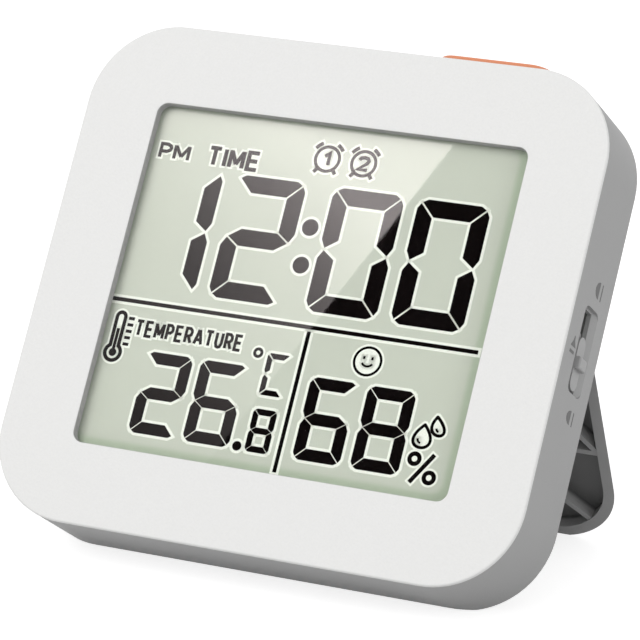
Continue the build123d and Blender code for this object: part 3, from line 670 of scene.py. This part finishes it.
def past_rectangle(tree, where, centre, half, corner):
    """How far a point lies outside a rectangle with rounded corners on the face, below 0 inside it."""
    beyond = []
    for axis, place, reach_out in zip((RIGHTWARD, UPWARD), centre, half):
        offset = math_node(tree, "ABSOLUTE", math_node(tree, "SUBTRACT", along(tree, where, axis), place))
        beyond.append(math_node(tree, "SUBTRACT", offset, reach_out - corner))
    squares = [math_node(tree, "POWER", math_node(tree, "MAXIMUM", value, 0), 2) for value in beyond]
    outside = math_node(tree, "SQRT", math_node(tree, "ADD", *squares))
    inside = math_node(tree, "MINIMUM", math_node(tree, "MAXIMUM", *beyond), 0)
    return math_node(tree, "SUBTRACT", math_node(tree, "ADD", outside, inside), corner)


def painted_shade_blend(tree, value, start, end, first, second):
    """Colour that passes softly from a first to a second one while a value goes from start to end, here a
    painted shade.
    """
    inputs = {"Value": value, "From Min": start, "From Max": end}
    band = new_node(tree, "ShaderNodeMapRange", inputs, interpolation_type="SMOOTHSTEP")
    mix = new_node(tree, "ShaderNodeMix", {"Factor": band.outputs["Result"]}, data_type="RGBA")
    sockets = [socket for socket in mix.inputs if socket.type == "RGBA"]
    sockets[0].default_value, sockets[1].default_value = screen(first), screen(second)
    return next(socket for socket in mix.outputs if socket.type == "RGBA")


def recoloured(material, tone):
    """Feeds a colour that changes over the surface to the grain of a moulded material."""
    grain = next(node for node in material.node_tree.nodes if node.type == "GROUP")
    feed(grain, {"Colour": tone})
    return material


def bezel_with_painted_shade(name, colours, sizes):
    """White moulded bezel with painted shade on the narrow wall round the window."""
    material = moulded(name, colours.bezel, roughness=0.5, grain=sizes.grain, speckle=0.07, drift=0.015)
    tree = material.node_tree
    half = (sizes.window_width / 2, sizes.window_height / 2)
    past = past_rectangle(tree, own_place(tree), (0, FACE_MIDDLE), half, sizes.window_corner)
    # Painted shade: the wall round the window is given a darker colour
    shade = darker(colours.bezel, WALL_PAINTED_SHADE)
    return recoloured(material, painted_shade_blend(tree, past, WALL_START, WALL_END, shade, colours.bezel))


def stand_with_painted_shade(name, colours, sizes):
    """Grey moulded stand with painted shade on the floor of its hollow front between the ribs."""
    material = moulded(name, colours.stand, roughness=0.6, grain=sizes.grain, speckle=0.06, drift=0.05)
    tree = material.node_tree
    floor = max(frame["nodes"]["stand"].data.polygons, key=lambda face: face.area if face.normal.y < 0 else 0)
    height = along(tree, own_place(tree), floor.normal)
    level = math_node(tree, "ABSOLUTE", math_node(tree, "SUBTRACT", height, floor.center.dot(floor.normal)))
    # Painted shade: the floor of the hollow is given a darker colour
    shade = darker(colours.stand, HOLLOW_PAINTED_SHADE)
    return recoloured(material, painted_shade_blend(tree, level, HOLLOW_START, HOLLOW_END, shade, colours.stand))


def display_ground(name, colours):
    """Pale green ground of the display, with painted shade in a soft band along the edge of the window."""
    material, tree, shader = new_material(name, {"Specular IOR Level": 0})
    where = own_place(tree)
    # Painted shade in a soft band along the edge of the window
    centre, half, corner = (-1.3 * MM, FACE_MIDDLE + 0.9 * MM), (38.1 * MM, 34.0 * MM), 2 * MM
    band_start, band_end = -0.5 * MM, 1.0 * MM
    past = past_rectangle(tree, where, centre, half, corner)
    mixed = painted_shade_blend(tree, past, band_start, band_end, colours.display, colours.edge)
    fine, cloud = noise_node(tree, where, scale=2600, detail=2), noise_node(tree, where, scale=22, detail=1)
    tone = spread_about(tree, cloud, 0.04, spread_about(tree, fine, 0.02, base=1))
    roughness = spread_about(tree, cloud, 0.1, base=0.6)
    feed(shader, {"Base Color": tinted(tree, mixed, tone), "Roughness": roughness})
    return material


def circuit_board(name):
    """Green solder mask over fine copper tracks."""
    material, tree, shader = new_material(name)
    where = own_place(tree)
    lean = (-UPWARD.angle(Vector((0, 0, 1))), 0, 0)
    flat = new_node(tree, "ShaderNodeMapping", {"Vector": where, "Rotation": lean}).outputs["Vector"]
    tracks = new_node(tree, "ShaderNodeTexBrick", {
        "Vector": flat, "Scale": 160, "Mortar Size": 0.03, "Mortar": screen((0.22, 0.55, 0.33)),
        "Color1": screen((0.07, 0.36, 0.2)), "Color2": screen((0.08, 0.4, 0.23)),
    }).outputs
    cloud = noise_node(tree, where, scale=200, detail=2)
    feed(shader, {
        "Base Color": tracks["Color"], "Roughness": spread_about(tree, cloud, 0.1, base=0.3),
        "Normal": embossed(tree, tracks["Fac"], TRACK_RELIEF),
    })
    return material


def dress(material, *nodes):
    """Gives carried-over nodes their finish."""
    for name in nodes:
        mesh = frame["nodes"][name].data
        mesh.materials.clear()
        mesh.materials.append(material)


KEYS = ("mode_key", "up_key", "down_key", "unit_key")
SWITCHED = (*KEYS, "snooze")


class ClockOperator:
    """What the operators share: each one finishes or raises an error."""

    bl_options = {"REGISTER", "UNDO"}


class CLOCK_OT_shell(ClockOperator, bpy.types.Operator):
    """Finish the bezel, rear case, stand, battery door, keys and snooze button"""

    bl_idname = "clock.shell"
    bl_label = "Shell"

    def execute(self, context):
        colours, sizes = context.scene.clock_colours, context.scene.clock_sizes
        grain = sizes.grain
        grey = moulded("case_matte_grey", colours.case, roughness=0.58, grain=grain)
        key_grey = moulded("key_matte_grey", colours.case, roughness=0.5, grain=grain, speckle=0.04, drift=0.02)
        orange = moulded(
            "snooze_satin_orange", colours.snooze,
            roughness=0.42, grain=grain, speckle=0.03, drift=0.02, relief=0.01 * MM,
        )
        dress(bezel_with_painted_shade("bezel_satin_white", colours, sizes), "front_bezel")
        dress(grey, "rear_case", "battery_door")
        dress(key_grey, "alarm_switch_knob", *KEYS)
        dress(stand_with_painted_shade("stand_matte_grey", colours, sizes), "stand")
        dress(orange, "snooze_button")
        return {"FINISHED"}


class CLOCK_OT_inside(ClockOperator, bpy.types.Operator):
    """Finish the display stack, the board with its parts, the cells and their contacts"""

    bl_idname = "clock.inside"
    bl_label = "Inside"

    def execute(self, context):
        colours = context.scene.clock_colours
        dress(clear_window("window_clear"), "lens_window")
        dress(display_ground("display_ground", colours), "lcd_front_glass", "lcd_rear_glass")
        dress(self.layered("elastomer_layers", pitch=0.4 * MM), "zebra_strip")
        dress(circuit_board("board_green"), "main_pcb")
        self.plastics(colours)
        self.metals()
        dress(self.leads("lead_red_black", "buzzer_leads"), "buzzer_leads")
        for node, plus in (("battery_upper", 1), ("battery_lower", -1)):
            dress(self.sleeve(f"{node}_sleeve", node, plus), node)
        return {"FINISHED"}

    def plastics(self, colours):
        """Finish the holder, the potted parts, the switches and the sounder's ceramic."""
        potting = moulded(
            "potting_black", (0.1, 0.1, 0.1),
            roughness=0.25, grain=0.9 * MM, speckle=0.2, drift=0.1, relief=0.08 * MM,
        )
        black = moulded("switch_black", (0.13, 0.13, 0.13), roughness=0.45)
        housing = moulded("switch_housing", (0.2, 0.2, 0.2), roughness=0.4)
        ceramic = moulded(
            "sounder_ceramic", (0.86, 0.85, 0.81), roughness=0.35, grain=0.3 * MM, speckle=0.1, drift=0.05)
        dress(moulded("holder_white", colours.bezel, roughness=0.5), "lcd_holder")
        dress(potting, "driver_chip", "humidity_sensor", "thermistor")
        dress(black, "alarm_switch_lever", *(f"{key}_plunger" for key in SWITCHED))
        dress(housing, *(f"{key}_switch" for key in SWITCHED))
        dress(ceramic, "buzzer_ceramic")

    def metals(self):
        """Finish the reflector, the screws, the contacts and the metal parts on the board."""
        steel = metal("plated_steel", (0.8, 0.79, 0.77), roughness=0.28)
        dress(steel, "case_screws", "pcb_screws", "alarm_switch_body", "crystal")
        dress(steel, "positive_contact", "negative_contact", "bridge_contact")
        dress(metal("reflector_foil", (0.8, 0.83, 0.77), roughness=0.6), "lcd_reflector")
        dress(metal("can_aluminium", (0.84, 0.84, 0.85), roughness=0.35), "capacitor")
        dress(metal("sounder_brass", (0.85, 0.72, 0.42), roughness=0.3), "buzzer_plate")

    def layered(self, name, pitch):
        """Carbon and clear silicone layers side by side."""
        material, tree, shader = new_material(name)
        unscaled_wave = 2 * pi / 20
        wave = new_node(tree, "ShaderNodeTexWave", {"Vector": own_place(tree), "Scale": unscaled_wave / pitch})
        ramp = new_node(tree, "ShaderNodeValToRGB", {"Fac": wave.outputs["Fac"]})
        carbon, silicone = (0.15, 0.15, 0.16), (0.55, 0.55, 0.57)
        for element, colour in zip(ramp.color_ramp.elements, (carbon, silicone)):
            element.color = screen(colour)
        feed(shader, {"Base Color": ramp.outputs["Color"], "Roughness": 0.6})
        return material

    def leads(self, name, node):
        """Red lead on the left and black lead on the right."""
        red, black = (0.7, 0.1, 0.08), (0.12, 0.12, 0.12)
        stops = [(reach(node, RIGHTWARD)[0], red), (middle(node, RIGHTWARD), black)]
        return banded(name, RIGHTWARD, stops, roughness=0.5)

    def sleeve(self, name, node, plus):
        """Plain cell sleeve: bare ends, a dark body and a lighter band by the positive end."""
        low, high = reach(node, RIGHTWARD)
        bare, dark, band = (0.8, 0.8, 0.78), (0.16, 0.17, 0.2), (0.75, 0.5, 0.3)
        minus_end, plus_end, band_end = MM, 2 * MM, 13 * MM
        if plus > 0:
            stops = [(low, bare), (low + minus_end, dark), (high - band_end, band), (high - plus_end, bare)]
        else:
            stops = [(low, bare), (low + plus_end, band), (low + band_end, dark), (high - minus_end, bare)]
        return banded(name, RIGHTWARD, stops, roughness=0.3)


# Layout of the display, in millimetres from the middle of its signs

# Left edges of the figures in a row, and their bottom, width, height, bar, corner cut and gap
TIME_LEFTS, TIME_FORM = (-38.5, -20.65, 0.1, 17.95), (-1.85, 15.3, 25.55, 3.8, 2.1, 0.36)
READING_LEFTS, READING_FORM = (-29.9, -18.2, 5.1, 17.1), (-30.8, 10.1, 16.6, 2.52, 1.4, 0.18)
SMALL_LEFT = -4.9
TENTH_FORM, UNIT_FORM = (-30.8, 5.1, 8.7, 1.32, 0.8, 0.1), (-19.55, 5.1, 8.7, 1.4, 0.7, 0.3)

# Middles and radii of round signs, and the widths of their lines
COLON_DOTS, COLON_RADIUS = ((-2.7, 14.8), (-2.7, 7.1)), 1.7
POINT_DOT, POINT_RADIUS = (-6.5, -30.0), 0.95
BULB, BULB_RADIUS, BULB_FILL = (-37.3, -15.6), 1.65, 0.8
TUBE_TOP, TUBE_RADIUS, TUBE_FILL = (-37.3, -8.3), 0.9, (-37.62, -15.0, -36.98, -10.7)
DEGREE_RING, DEGREE_RADIUS = (-6.9, -11.3), 0.75
TUBE_LINE, DEGREE_LINE = 0.74, 0.6
COMFORT_FACE, COMFORT_RADIUS = (15.7, -9.75), 3.0
ALARMS = ((-2.7, 28.9), (5.0, 28.9))

# Drops with their middle, width, height and lean, and the rings and the stroke of the percent sign
DROPS = (((30.2, -22.4), 3.5, 4.5, 0), ((33.25, -20.1), 2.6, 3.6, -0.9))
DROP_LINE, GLEAM_LINE = 0.6, 0.42
PERCENT_RINGS, PERCENT_RADIUS = ((29.7, -26.9), (33.4, -30.1)), 1.0
PERCENT_STROKE, PERCENT_LINE = [(29.7, -31.5), (33.5, -25.6)], 0.85

# Dividing lines as left, bottom, right and top
RULES = ((-40.4, -5.25, 37.2, -4.45), (2.0, -33.9, 2.8, -5.7))

# Words and the numbers of the two alarms, each with its box and its stroke
WORDS = (
    ("PM", (-38.55, 24.6, -31.75, 28.05), 0.68),
    ("TIME", (-28.0, 24.35, -16.6, 28.6), 0.82),
    ("TEMPERATURE", (-33.9, -11.75, -10.6, -8.3), 0.6),
    ("1", (-3.7, 27.3, -2.0, 30.5), 0.76),
    ("2", (3.65, 27.3, 6.35, 30.5), 0.72),
)

# Ticks beside the thermometer: their count, the middle of the first one, the step down and their size
TICK_COUNT, TICK_START, TICK_STEP, TICK_SIZE = 5, (-35.0, -8.4), 1.31, (1.25, 0.62)


class CLOCK_OT_display(ClockOperator, bpy.types.Operator):
    """Make the figures, words and signs of the display, with the clear border round them"""

    bl_idname = "clock.display"
    bl_label = "Display"

    def execute(self, context):
        scene = context.scene
        readings, sizes, colours = scene.clock_readings, scene.clock_sizes, scene.clock_colours
        flat = {"roughness": 0.7, "grain": 1.2 * MM, "relief": 0, "gloss": 0}
        ink = moulded("sign_ink", colours.ink, speckle=0.1, drift=0.1, **flat)
        border = moulded("sign_border", colours.halo, speckle=0.02, drift=0.02, **flat)
        solid = self.figures(readings) + self.dots() + [box_outline(*rule) for rule in RULES]
        halo, rim = sizes.halo_width, sizes.line_border
        dark, pale = bmesh.new(), bmesh.new()
        add_plates(dark, solid, sizes.sign_height)
        for outline in solid:
            add_plates(pale, [grown(turned_left(outline), halo)], sizes.halo_height)
        for points, width, closed in self.icon_lines() + self.word_strokes():
            add_plates(dark, ribbon(points, width, closed), sizes.sign_height)
            wide = width + 2 * rim
            around = [line_sides(points, wide, True)[1]] if closed else ribbon(lengthened(points, rim), wide)
            add_plates(pale, around, sizes.halo_height)
        for name, shape, material in (("display_borders", pale, border), ("display_signs", dark, ink)):
            new_piece(name, finished_mesh(shape, name, DISPLAY), material, "case")
        self.scale_ticks("display_ticks", ink, sizes.sign_height, 0)
        self.scale_ticks("tick_borders", border, sizes.halo_height, rim)
        return {"FINISHED"}

    def figures(self, readings):
        """Bars of all the figures: time in the upper row, temperature and humidity below it."""
        bars = []
        for sign, left in zip(readings.hour + readings.minute, TIME_LEFTS):
            bars += figure(sign, left, *TIME_FORM)
        for sign, left in zip(readings.temperature + readings.humidity, READING_LEFTS):
            bars += figure(sign, left, *READING_FORM)
        return bars + figure(readings.tenth, SMALL_LEFT, *TENTH_FORM) + figure("C", SMALL_LEFT, *UNIT_FORM)

    def dots(self):
        """Colon, decimal point and the fill of the thermometer."""
        colon = [disc(dot, COLON_RADIUS) for dot in COLON_DOTS]
        return [*colon, disc(POINT_DOT, POINT_RADIUS), disc(BULB, BULB_FILL), box_outline(*TUBE_FILL)]

    def icon_lines(self):
        """Signs drawn as lines: points, width, and whether the line closes."""
        lines = [line for place in ALARMS for line in self.alarm_lines(*place)]
        bulb = arc(BULB, BULB_RADIUS, start=122, end=418, count=22)
        tube = arc(TUBE_TOP, TUBE_RADIUS, start=0, end=180, count=10)
        lines.append((bulb + tube, TUBE_LINE, True))
        lines.append((disc(DEGREE_RING, DEGREE_RADIUS), DEGREE_LINE, True))
        lines += self.face_lines(COMFORT_FACE, COMFORT_RADIUS)
        for centre, width, height, lean in DROPS:
            gleam_middle, gleam_radius = (centre[0], centre[1] - height * 0.12), width * 0.24
            gleam = arc(gleam_middle, gleam_radius, start=180, end=260, count=6)
            lines.append((self.drop(centre, width, height, lean), DROP_LINE, True))
            lines.append((gleam, GLEAM_LINE, False))
        lines += [(disc(ring, PERCENT_RADIUS), PERCENT_LINE, True) for ring in PERCENT_RINGS]
        lines.append((PERCENT_STROKE, PERCENT_LINE, False))
        return lines

    def alarm_lines(self, x, y):
        """Small alarm clock: ring, two bells and two feet."""
        ring_radius, bell_radius, foot_start, foot_end = 2.5, 3.45, 2.6, 3.7
        ring_line, bell_line, foot_line = 0.64, 0.74, 0.75
        lines = [(disc((x, y), ring_radius), ring_line, True)]
        for side in (-1, 1):
            bell = arc((x, y), bell_radius, start=90 + side * 27, end=90 + side * 56, count=5)
            turn = radians(-90 + side * 38)
            foot = [(x + cos(turn) * length, y + sin(turn) * length) for length in (foot_start, foot_end)]
            lines += [(bell, bell_line, False), (foot, foot_line, False)]
        return lines

    def face_lines(self, centre, radius):
        """Round comfort face: ring, eyes and a calm mouth."""
        x, y = centre
        ring_line, mouth_line, eye_line = 0.5, 0.42, 0.45
        mouth_height, mouth_radius, eye_place, eye_low, eye_high = 0.3, 1.3, 0.85, 0.35, 0.95
        mouth = arc((x, y + mouth_height), mouth_radius, start=215, end=325, count=10)
        lines = [(disc(centre, radius - ring_line / 2), ring_line, True), (mouth, mouth_line, False)]
        for eye_x in (x - eye_place, x + eye_place):
            lines.append(([(eye_x, y + eye_low), (eye_x, y + eye_high)], eye_line, False))
        return lines

    def drop(self, centre, width, height, lean):
        """Outline of a falling drop, pointed at its top, which may lean to a side."""
        count, widest = 26, 1.54
        angles = [2 * pi * (index + 0.5) / count for index in range(count)]
        across = [lean * (1 + cos(a)) / 2 - width / widest * sin(a) * sin(a / 2) for a in angles]
        return [(centre[0] + x, centre[1] + height / 2 * cos(a)) for x, a in zip(across, angles)]

    def word_strokes(self):
        """Lines of the plain words and of the numbers of the two alarms."""
        return [line for text, box, stroke in WORDS for line in word_lines(text, box, stroke)]

    def scale_ticks(self, name, material, height, border):
        """Ticks beside the thermometer, or the wider border round them."""
        width, thickness = (size + 2 * border for size in TICK_SIZE)
        inputs = {
            "Count": TICK_COUNT, "Start": Vector((TICK_START[0] * MM, TICK_START[1] * MM, height / 2)),
            "Step": Vector((0, -TICK_STEP * MM, 0)), "Bar": Vector((width * MM, thickness * MM, height)),
            "Material": material,
        }
        mesh = baked(bar_row_tree(), bpy.data.meshes.new("ticks"), inputs, name)
        mesh.transform(DISPLAY)
        new_piece(name, mesh, material, "case")


# Marks by the slide, in millimetres back from the face and up from its middle

# Bells with their middle and half width, the place and depth of the dome, and the place of the rim below it
BELLS, DOME_PLACE, DOME_DEPTH, RIM_PLACE, RIM_WIDTH = ((12.5, 1.65), (-12.7, 1.35)), 12.4, 2.2, 13.9, 0.45
SMALL_BELL = [(3.6, -0.7), (6.6, -0.7), (5.5, 0.5), (5.3, 1.4), (4.9, 1.4), (4.7, 0.5)]
SMALL_LINE, SMALL_WIDTH = [(3.7, -1.7), (6.2, -1.7)], 0.6
# Share of the case's colour in the marks, which is painted shade of sunken signs, and how far the marks stand
# out
MARK_PAINTED_SHADE, MARK_HEIGHT = 0.6, 0.03 * MM


class CLOCK_OT_marks(ClockOperator, bpy.types.Operator):
    """Make the small marks by the slide switch and the ridges on the battery door's latch"""

    bl_idname = "clock.marks"
    bl_label = "Marks and ridges"

    def execute(self, context):
        colours, sizes = context.scene.clock_colours, context.scene.clock_sizes
        # The marks take painted shade: a darker grey where sunken signs would lie in shade
        mark = moulded("mark_grey", darker(colours.case, MARK_PAINTED_SHADE), roughness=0.6, grain=sizes.grain)
        turns = [radians(turn) for turn in range(90, 271, 15)]
        shape = bmesh.new()
        for y, half in BELLS:
            dome = [(DOME_PLACE + DOME_DEPTH * cos(turn), y + half * sin(turn)) for turn in turns]
            add_plates(shape, [dome], MARK_HEIGHT)
            add_plates(shape, ribbon([(RIM_PLACE, y - half), (RIM_PLACE, y + half)], RIM_WIDTH), MARK_HEIGHT)
        add_plates(shape, [SMALL_BELL], MARK_HEIGHT)
        add_plates(shape, ribbon(SMALL_LINE, SMALL_WIDTH), MARK_HEIGHT)
        new_piece("switch_marks", finished_mesh(shape, "switch_marks", SIDE), mark, "case")
        self.latch_ridges(sizes)
        return {"FINISHED"}

    def latch_ridges(self, sizes):
        """Ridges for a finger on the latch."""
        step, length, width, rise = 1.1 * MM, 7 * MM, 0.5 * MM, 0.35 * MM
        low = reach("battery_door", UPWARD)[0] - FACE_MIDDLE
        start = Vector((-middle("battery_door", RIGHTWARD), low + step, rise / 2))
        finish = frame["nodes"]["battery_door"].data.materials[0]
        inputs = {
            "Count": sizes.ridge_count, "Start": start, "Step": Vector((0, step, 0)),
            "Bar": Vector((length, width, rise)), "Material": finish,
        }
        mesh = baked(bar_row_tree(), bpy.data.meshes.new("ridges"), inputs, "latch_ridges")
        mesh.transform(BACK)
        new_piece("latch_ridges", mesh, finish, "battery_cover")


class CLOCK_OT_screws(ClockOperator, bpy.types.Operator):
    """Make the case screws with cross recesses in their heads"""

    bl_idname = "clock.screws"
    bl_label = "Case screws"

    def execute(self, context):
        sizes = context.scene.clock_sizes
        back, front = reach("case_screws", OUTWARD)
        left, right = reach("case_screws", RIGHTWARD)
        low, high = reach("case_screws", UPWARD)
        edge = sizes.head_radius
        points = bpy.data.meshes.new("screw_points")
        places = [
            RIGHTWARD * x + UPWARD * y + OUTWARD * back
            for x in (left + edge, right - edge)
            for y in (low + edge, high - edge)
        ]
        points.from_pydata(places, [], [])
        steel = frame["nodes"]["case_screws"].data.materials[0]
        pattern = placed("screw_pattern", self.screw(sizes, front - back))
        mesh = baked(fastener_tree(), points, {"Fastener": pattern, "Material": steel}, "case_screw_set")
        bpy.data.objects.remove(pattern)
        new_piece("case_screw_set", mesh, steel, "case", "case_screws")
        return {"FINISHED"}

    def screw(self, sizes, length):
        """One screw with its head's top at the origin, facing the back of the case."""
        radius, height, shank = sizes.head_radius, sizes.head_height, sizes.shank_radius
        slot, arm, depth, crown = radius * 0.16, radius * 0.62, height * 0.55, height * 0.3
        cross = [(arm, -slot), (arm, slot), (slot, slot), (slot, arm), (-slot, arm), (-slot, slot)]
        cross += [(-x, -y) for x, y in cross]
        taper, count = 0.8, 36
        turns = [2 * pi * index / count for index in range(count)]
        profile = [
            (radius * 0.8, 0), (radius * 0.95, -crown * 0.4), (radius, -crown), (radius, -height),
            (shank, -height), (shank, -length),
        ]
        shape = bmesh.new()

        def ring(points):
            return [shape.verts.new(point) for point in points]

        def wall(first, second):
            for index in range(len(first)):
                shape.faces.new((first[index - 1], first[index], second[index], second[index - 1]))

        def rim(loop):
            return [shape.edges.get((loop[index - 1], loop[index])) for index in range(len(loop))]

        rings = [ring([(r * cos(turn), r * sin(turn), z) for turn in turns]) for r, z in profile]
        for first, second in zip(rings, rings[1:]):
            wall(first, second)
        shape.faces.new(rings[-1])
        mouth = ring([(x, y, 0) for x, y in cross])
        bottom = ring([(x * taper, y * taper, -depth) for x, y in cross])
        wall(mouth, bottom)
        shape.faces.new(bottom)
        bmesh.ops.triangle_fill(shape, edges=rim(rings[0]) + rim(mouth), use_beauty=True)
        return finished_mesh(shape, "screw_pattern", plane(-RIGHTWARD, UPWARD, Vector()))


WHITE, BLACK, PAPER = (1, 1, 1, 1), (0, 0, 0, 1), (0.62, 0.62, 0.62, 1)

# Places of the soft boxes from the aim, and their sizes
KEY_PLACE, KEY_SIZE = Vector((-0.75, -1.25, 1.25)), 1.1
FILL_PLACE, FILL_SIZE = Vector((1.5, -0.5, 0.7)), 0.9


class CLOCK_OT_stage(ClockOperator, bpy.types.Operator):
    """Set the floor, world, lights, reflection card and camera"""

    bl_idname = "clock.stage"
    bl_label = "Stage"

    def execute(self, context):
        scene, stage = context.scene, context.scene.clock_stage
        scene.view_settings.view_transform = "Standard"
        self.sweep()
        self.world(scene, stage.ambient)
        aim = Vector(stage.aim)
        self.soft_box("key_light", aim + KEY_PLACE, aim, KEY_SIZE, stage.key)
        self.soft_box("fill_light", aim + FILL_PLACE, aim, FILL_SIZE, stage.fill)
        self.reflection_card(stage.glare)
        self.camera(scene, stage, aim)
        return {"FINISHED"}

    def sweep(self):
        """Pale floor that curves up behind the clock."""
        half, front, back, bend, top, steps = 4.0, -4.0, 2.2, 0.9, 3.5, 12
        turns = [pi / 2 * index / steps for index in range(steps + 1)]
        curve = [(back + bend * sin(turn), bend * (1 - cos(turn))) for turn in turns]
        profile = [(front, 0.0), *curve, (back + bend, top)]
        points = [(x, y, z) for y, z in profile for x in (-half, half)]
        mesh = bpy.data.meshes.new("floor_sweep")
        mesh.from_pydata(points, [], [(i, i + 1, i + 3, i + 2) for i in range(0, len(points) - 2, 2)])
        mesh.shade_smooth()
        plain = {"Base Color": PAPER, "Roughness": 0.95, "Specular IOR Level": 0, "Emission Color": WHITE}
        material, tree, shader = new_material("floor_paper", plain)
        shown = 0.75
        feed(shader, {"Emission Strength": math_node(tree, "MULTIPLY", self.seen(tree), shown)})
        mesh.materials.append(material)
        floor = placed("floor_sweep", mesh)

    def seen(self, tree):
        """1 for rays from the camera, or from it by way of gloss or glass."""
        path = new_node(tree, "ShaderNodeLightPath").outputs
        glossy = math_node(tree, "MAXIMUM", path["Is Glossy Ray"], path["Is Transmission Ray"])
        return math_node(tree, "MAXIMUM", path["Is Camera Ray"], glossy)

    def world(self, scene, ambient):
        """White to the eye, and an even pale light on the clock."""
        world = bpy.data.worlds.new("studio")
        world.use_nodes = True
        tree = world.node_tree
        tree.nodes.clear()
        strength = math_node(tree, "ADD", math_node(tree, "MULTIPLY", self.seen(tree), 1 - ambient), ambient)
        light = new_node(tree, "ShaderNodeBackground", {"Color": WHITE, "Strength": strength})
        new_node(tree, "ShaderNodeOutputWorld", {"Surface": light.outputs["Background"]})
        scene.world = world

    def soft_box(self, name, place, aim, size, power):
        """Square soft box that faces the clock."""
        light = bpy.data.lights.new(name, "AREA")
        light.size, light.energy = size, power
        lamp = placed(name, light)
        lamp.location = place
        lamp.rotation_euler = (place - aim).to_track_quat("Z", "Y").to_euler()
        lamp.visible_glossy = False

    def reflection_card(self, glare):
        """Card that only the glossy window sees.

        It is bright on one side of a slanted edge, most so towards its top, and dark on the other side.
        """
        distance, half = 0.7, 0.15
        edge_top, edge_bottom = Vector((-0.2677, 0.2494)), Vector((-0.3388, 0.1049))
        centre = (edge_top + edge_bottom) / 2
        up_edge = (edge_top - edge_bottom).normalized()
        across = Vector((-up_edge.y, up_edge.x))
        corners = ((half, -half), (half, half), (-half, half), (-half, -half))
        places = [centre + across * x + up_edge * y for x, y in corners]
        mesh = bpy.data.meshes.new("reflection_card")
        mesh.from_pydata([case_point(*place, FACE_PLACE + distance) for place in places], [], [(0, 1, 2, 3)])
        layer = mesh.uv_layers.new(name="card")
        for loop, corner in zip(layer.data, corners):
            loop.uv = corner
        mesh.materials.append(self.graded("card_graded", layer.name, glare))
        card = placed("reflection_card", mesh)
        card.visible_camera = card.visible_diffuse = card.visible_shadow = False

    def graded(self, name, layer, glare):
        """Light of the card, by the distance from its edge and along it."""
        fall, rise, brightest = -2.44, 20.5, 2.1
        plain = {"Base Color": BLACK, "Specular IOR Level": 0, "Emission Color": (1.1, 1, 1, 1)}
        material, tree, shader = new_material(name, plain)
        place = new_node(tree, "ShaderNodeUVMap", uv_map=layer).outputs["UV"]
        from_edge, up_edge = new_node(tree, "ShaderNodeSeparateXYZ", {"Vector": place}).outputs[:2]
        lit = math_node(tree, "GREATER_THAN", from_edge, 0)
        falling = math_node(tree, "MULTIPLY", from_edge, fall)
        rising = math_node(tree, "MULTIPLY", up_edge, rise)
        grade = math_node(tree, "EXPONENT", math_node(tree, "ADD", falling, rising))
        strength = math_node(tree, "MULTIPLY", lit, math_node(tree, "MINIMUM", grade, brightest))
        feed(shader, {"Emission Strength": math_node(tree, "MULTIPLY", strength, glare)})
        return material

    def camera(self, scene, stage, aim):
        """Camera at the photograph's viewing angle."""
        level = cos(stage.elevation)
        away = Vector((sin(stage.azimuth) * level, -cos(stage.azimuth) * level, sin(stage.elevation)))
        data = bpy.data.cameras.new("photo_camera")
        data.lens, data.sensor_width, data.clip_start = stage.lens, 36, 0.01
        camera = placed("photo_camera", data)
        camera.location = aim + away * stage.distance
        camera.rotation_euler = (away.to_track_quat("Z", "Y") @ Quaternion((0, 0, 1), stage.roll)).to_euler()
        scene.camera = camera


OPERATORS = (CLOCK_OT_shell, CLOCK_OT_inside, CLOCK_OT_display, CLOCK_OT_marks, CLOCK_OT_screws, CLOCK_OT_stage)


class CLOCK_PT_panel(bpy.types.Panel):
    """Lists the steps that dress the clock"""

    bl_idname = "CLOCK_PT_panel"
    bl_label = "Desk clock"
    bl_space_type = "VIEW_3D"
    bl_region_type = "UI"
    bl_category = "Clock"

    def draw(self, context):
        for operator in OPERATORS:
            self.layout.operator(operator.bl_idname)
        for name in SETTINGS:
            settings = getattr(context.scene, name)
            for label in settings.__annotations__:
                self.layout.prop(settings, label)


SETTINGS = {
    "clock_colours": ClockColours, "clock_readings": ClockReadings,
    "clock_sizes": ClockSizes, "clock_stage": ClockStage,
}


def register():
    for name, settings in SETTINGS.items():
        bpy.utils.register_class(settings)
        setattr(bpy.types.Scene, name, PointerProperty(type=settings))
    for operator in OPERATORS:
        bpy.utils.register_class(operator)
    bpy.utils.register_class(CLOCK_PT_panel)


def unregister():
    bpy.utils.unregister_class(CLOCK_PT_panel)
    for operator in reversed(OPERATORS):
        bpy.utils.unregister_class(operator)
    for name, settings in SETTINGS.items():
        delattr(bpy.types.Scene, name)
        bpy.utils.unregister_class(settings)


def main():
    """Dresses the clock step by step."""
    register()
    bpy.ops.clock.shell()
    bpy.ops.clock.inside()
    bpy.ops.clock.display()
    bpy.ops.clock.marks()
    bpy.ops.clock.screws()
    bpy.ops.clock.stage()


if __name__ == "__main__":
    main()
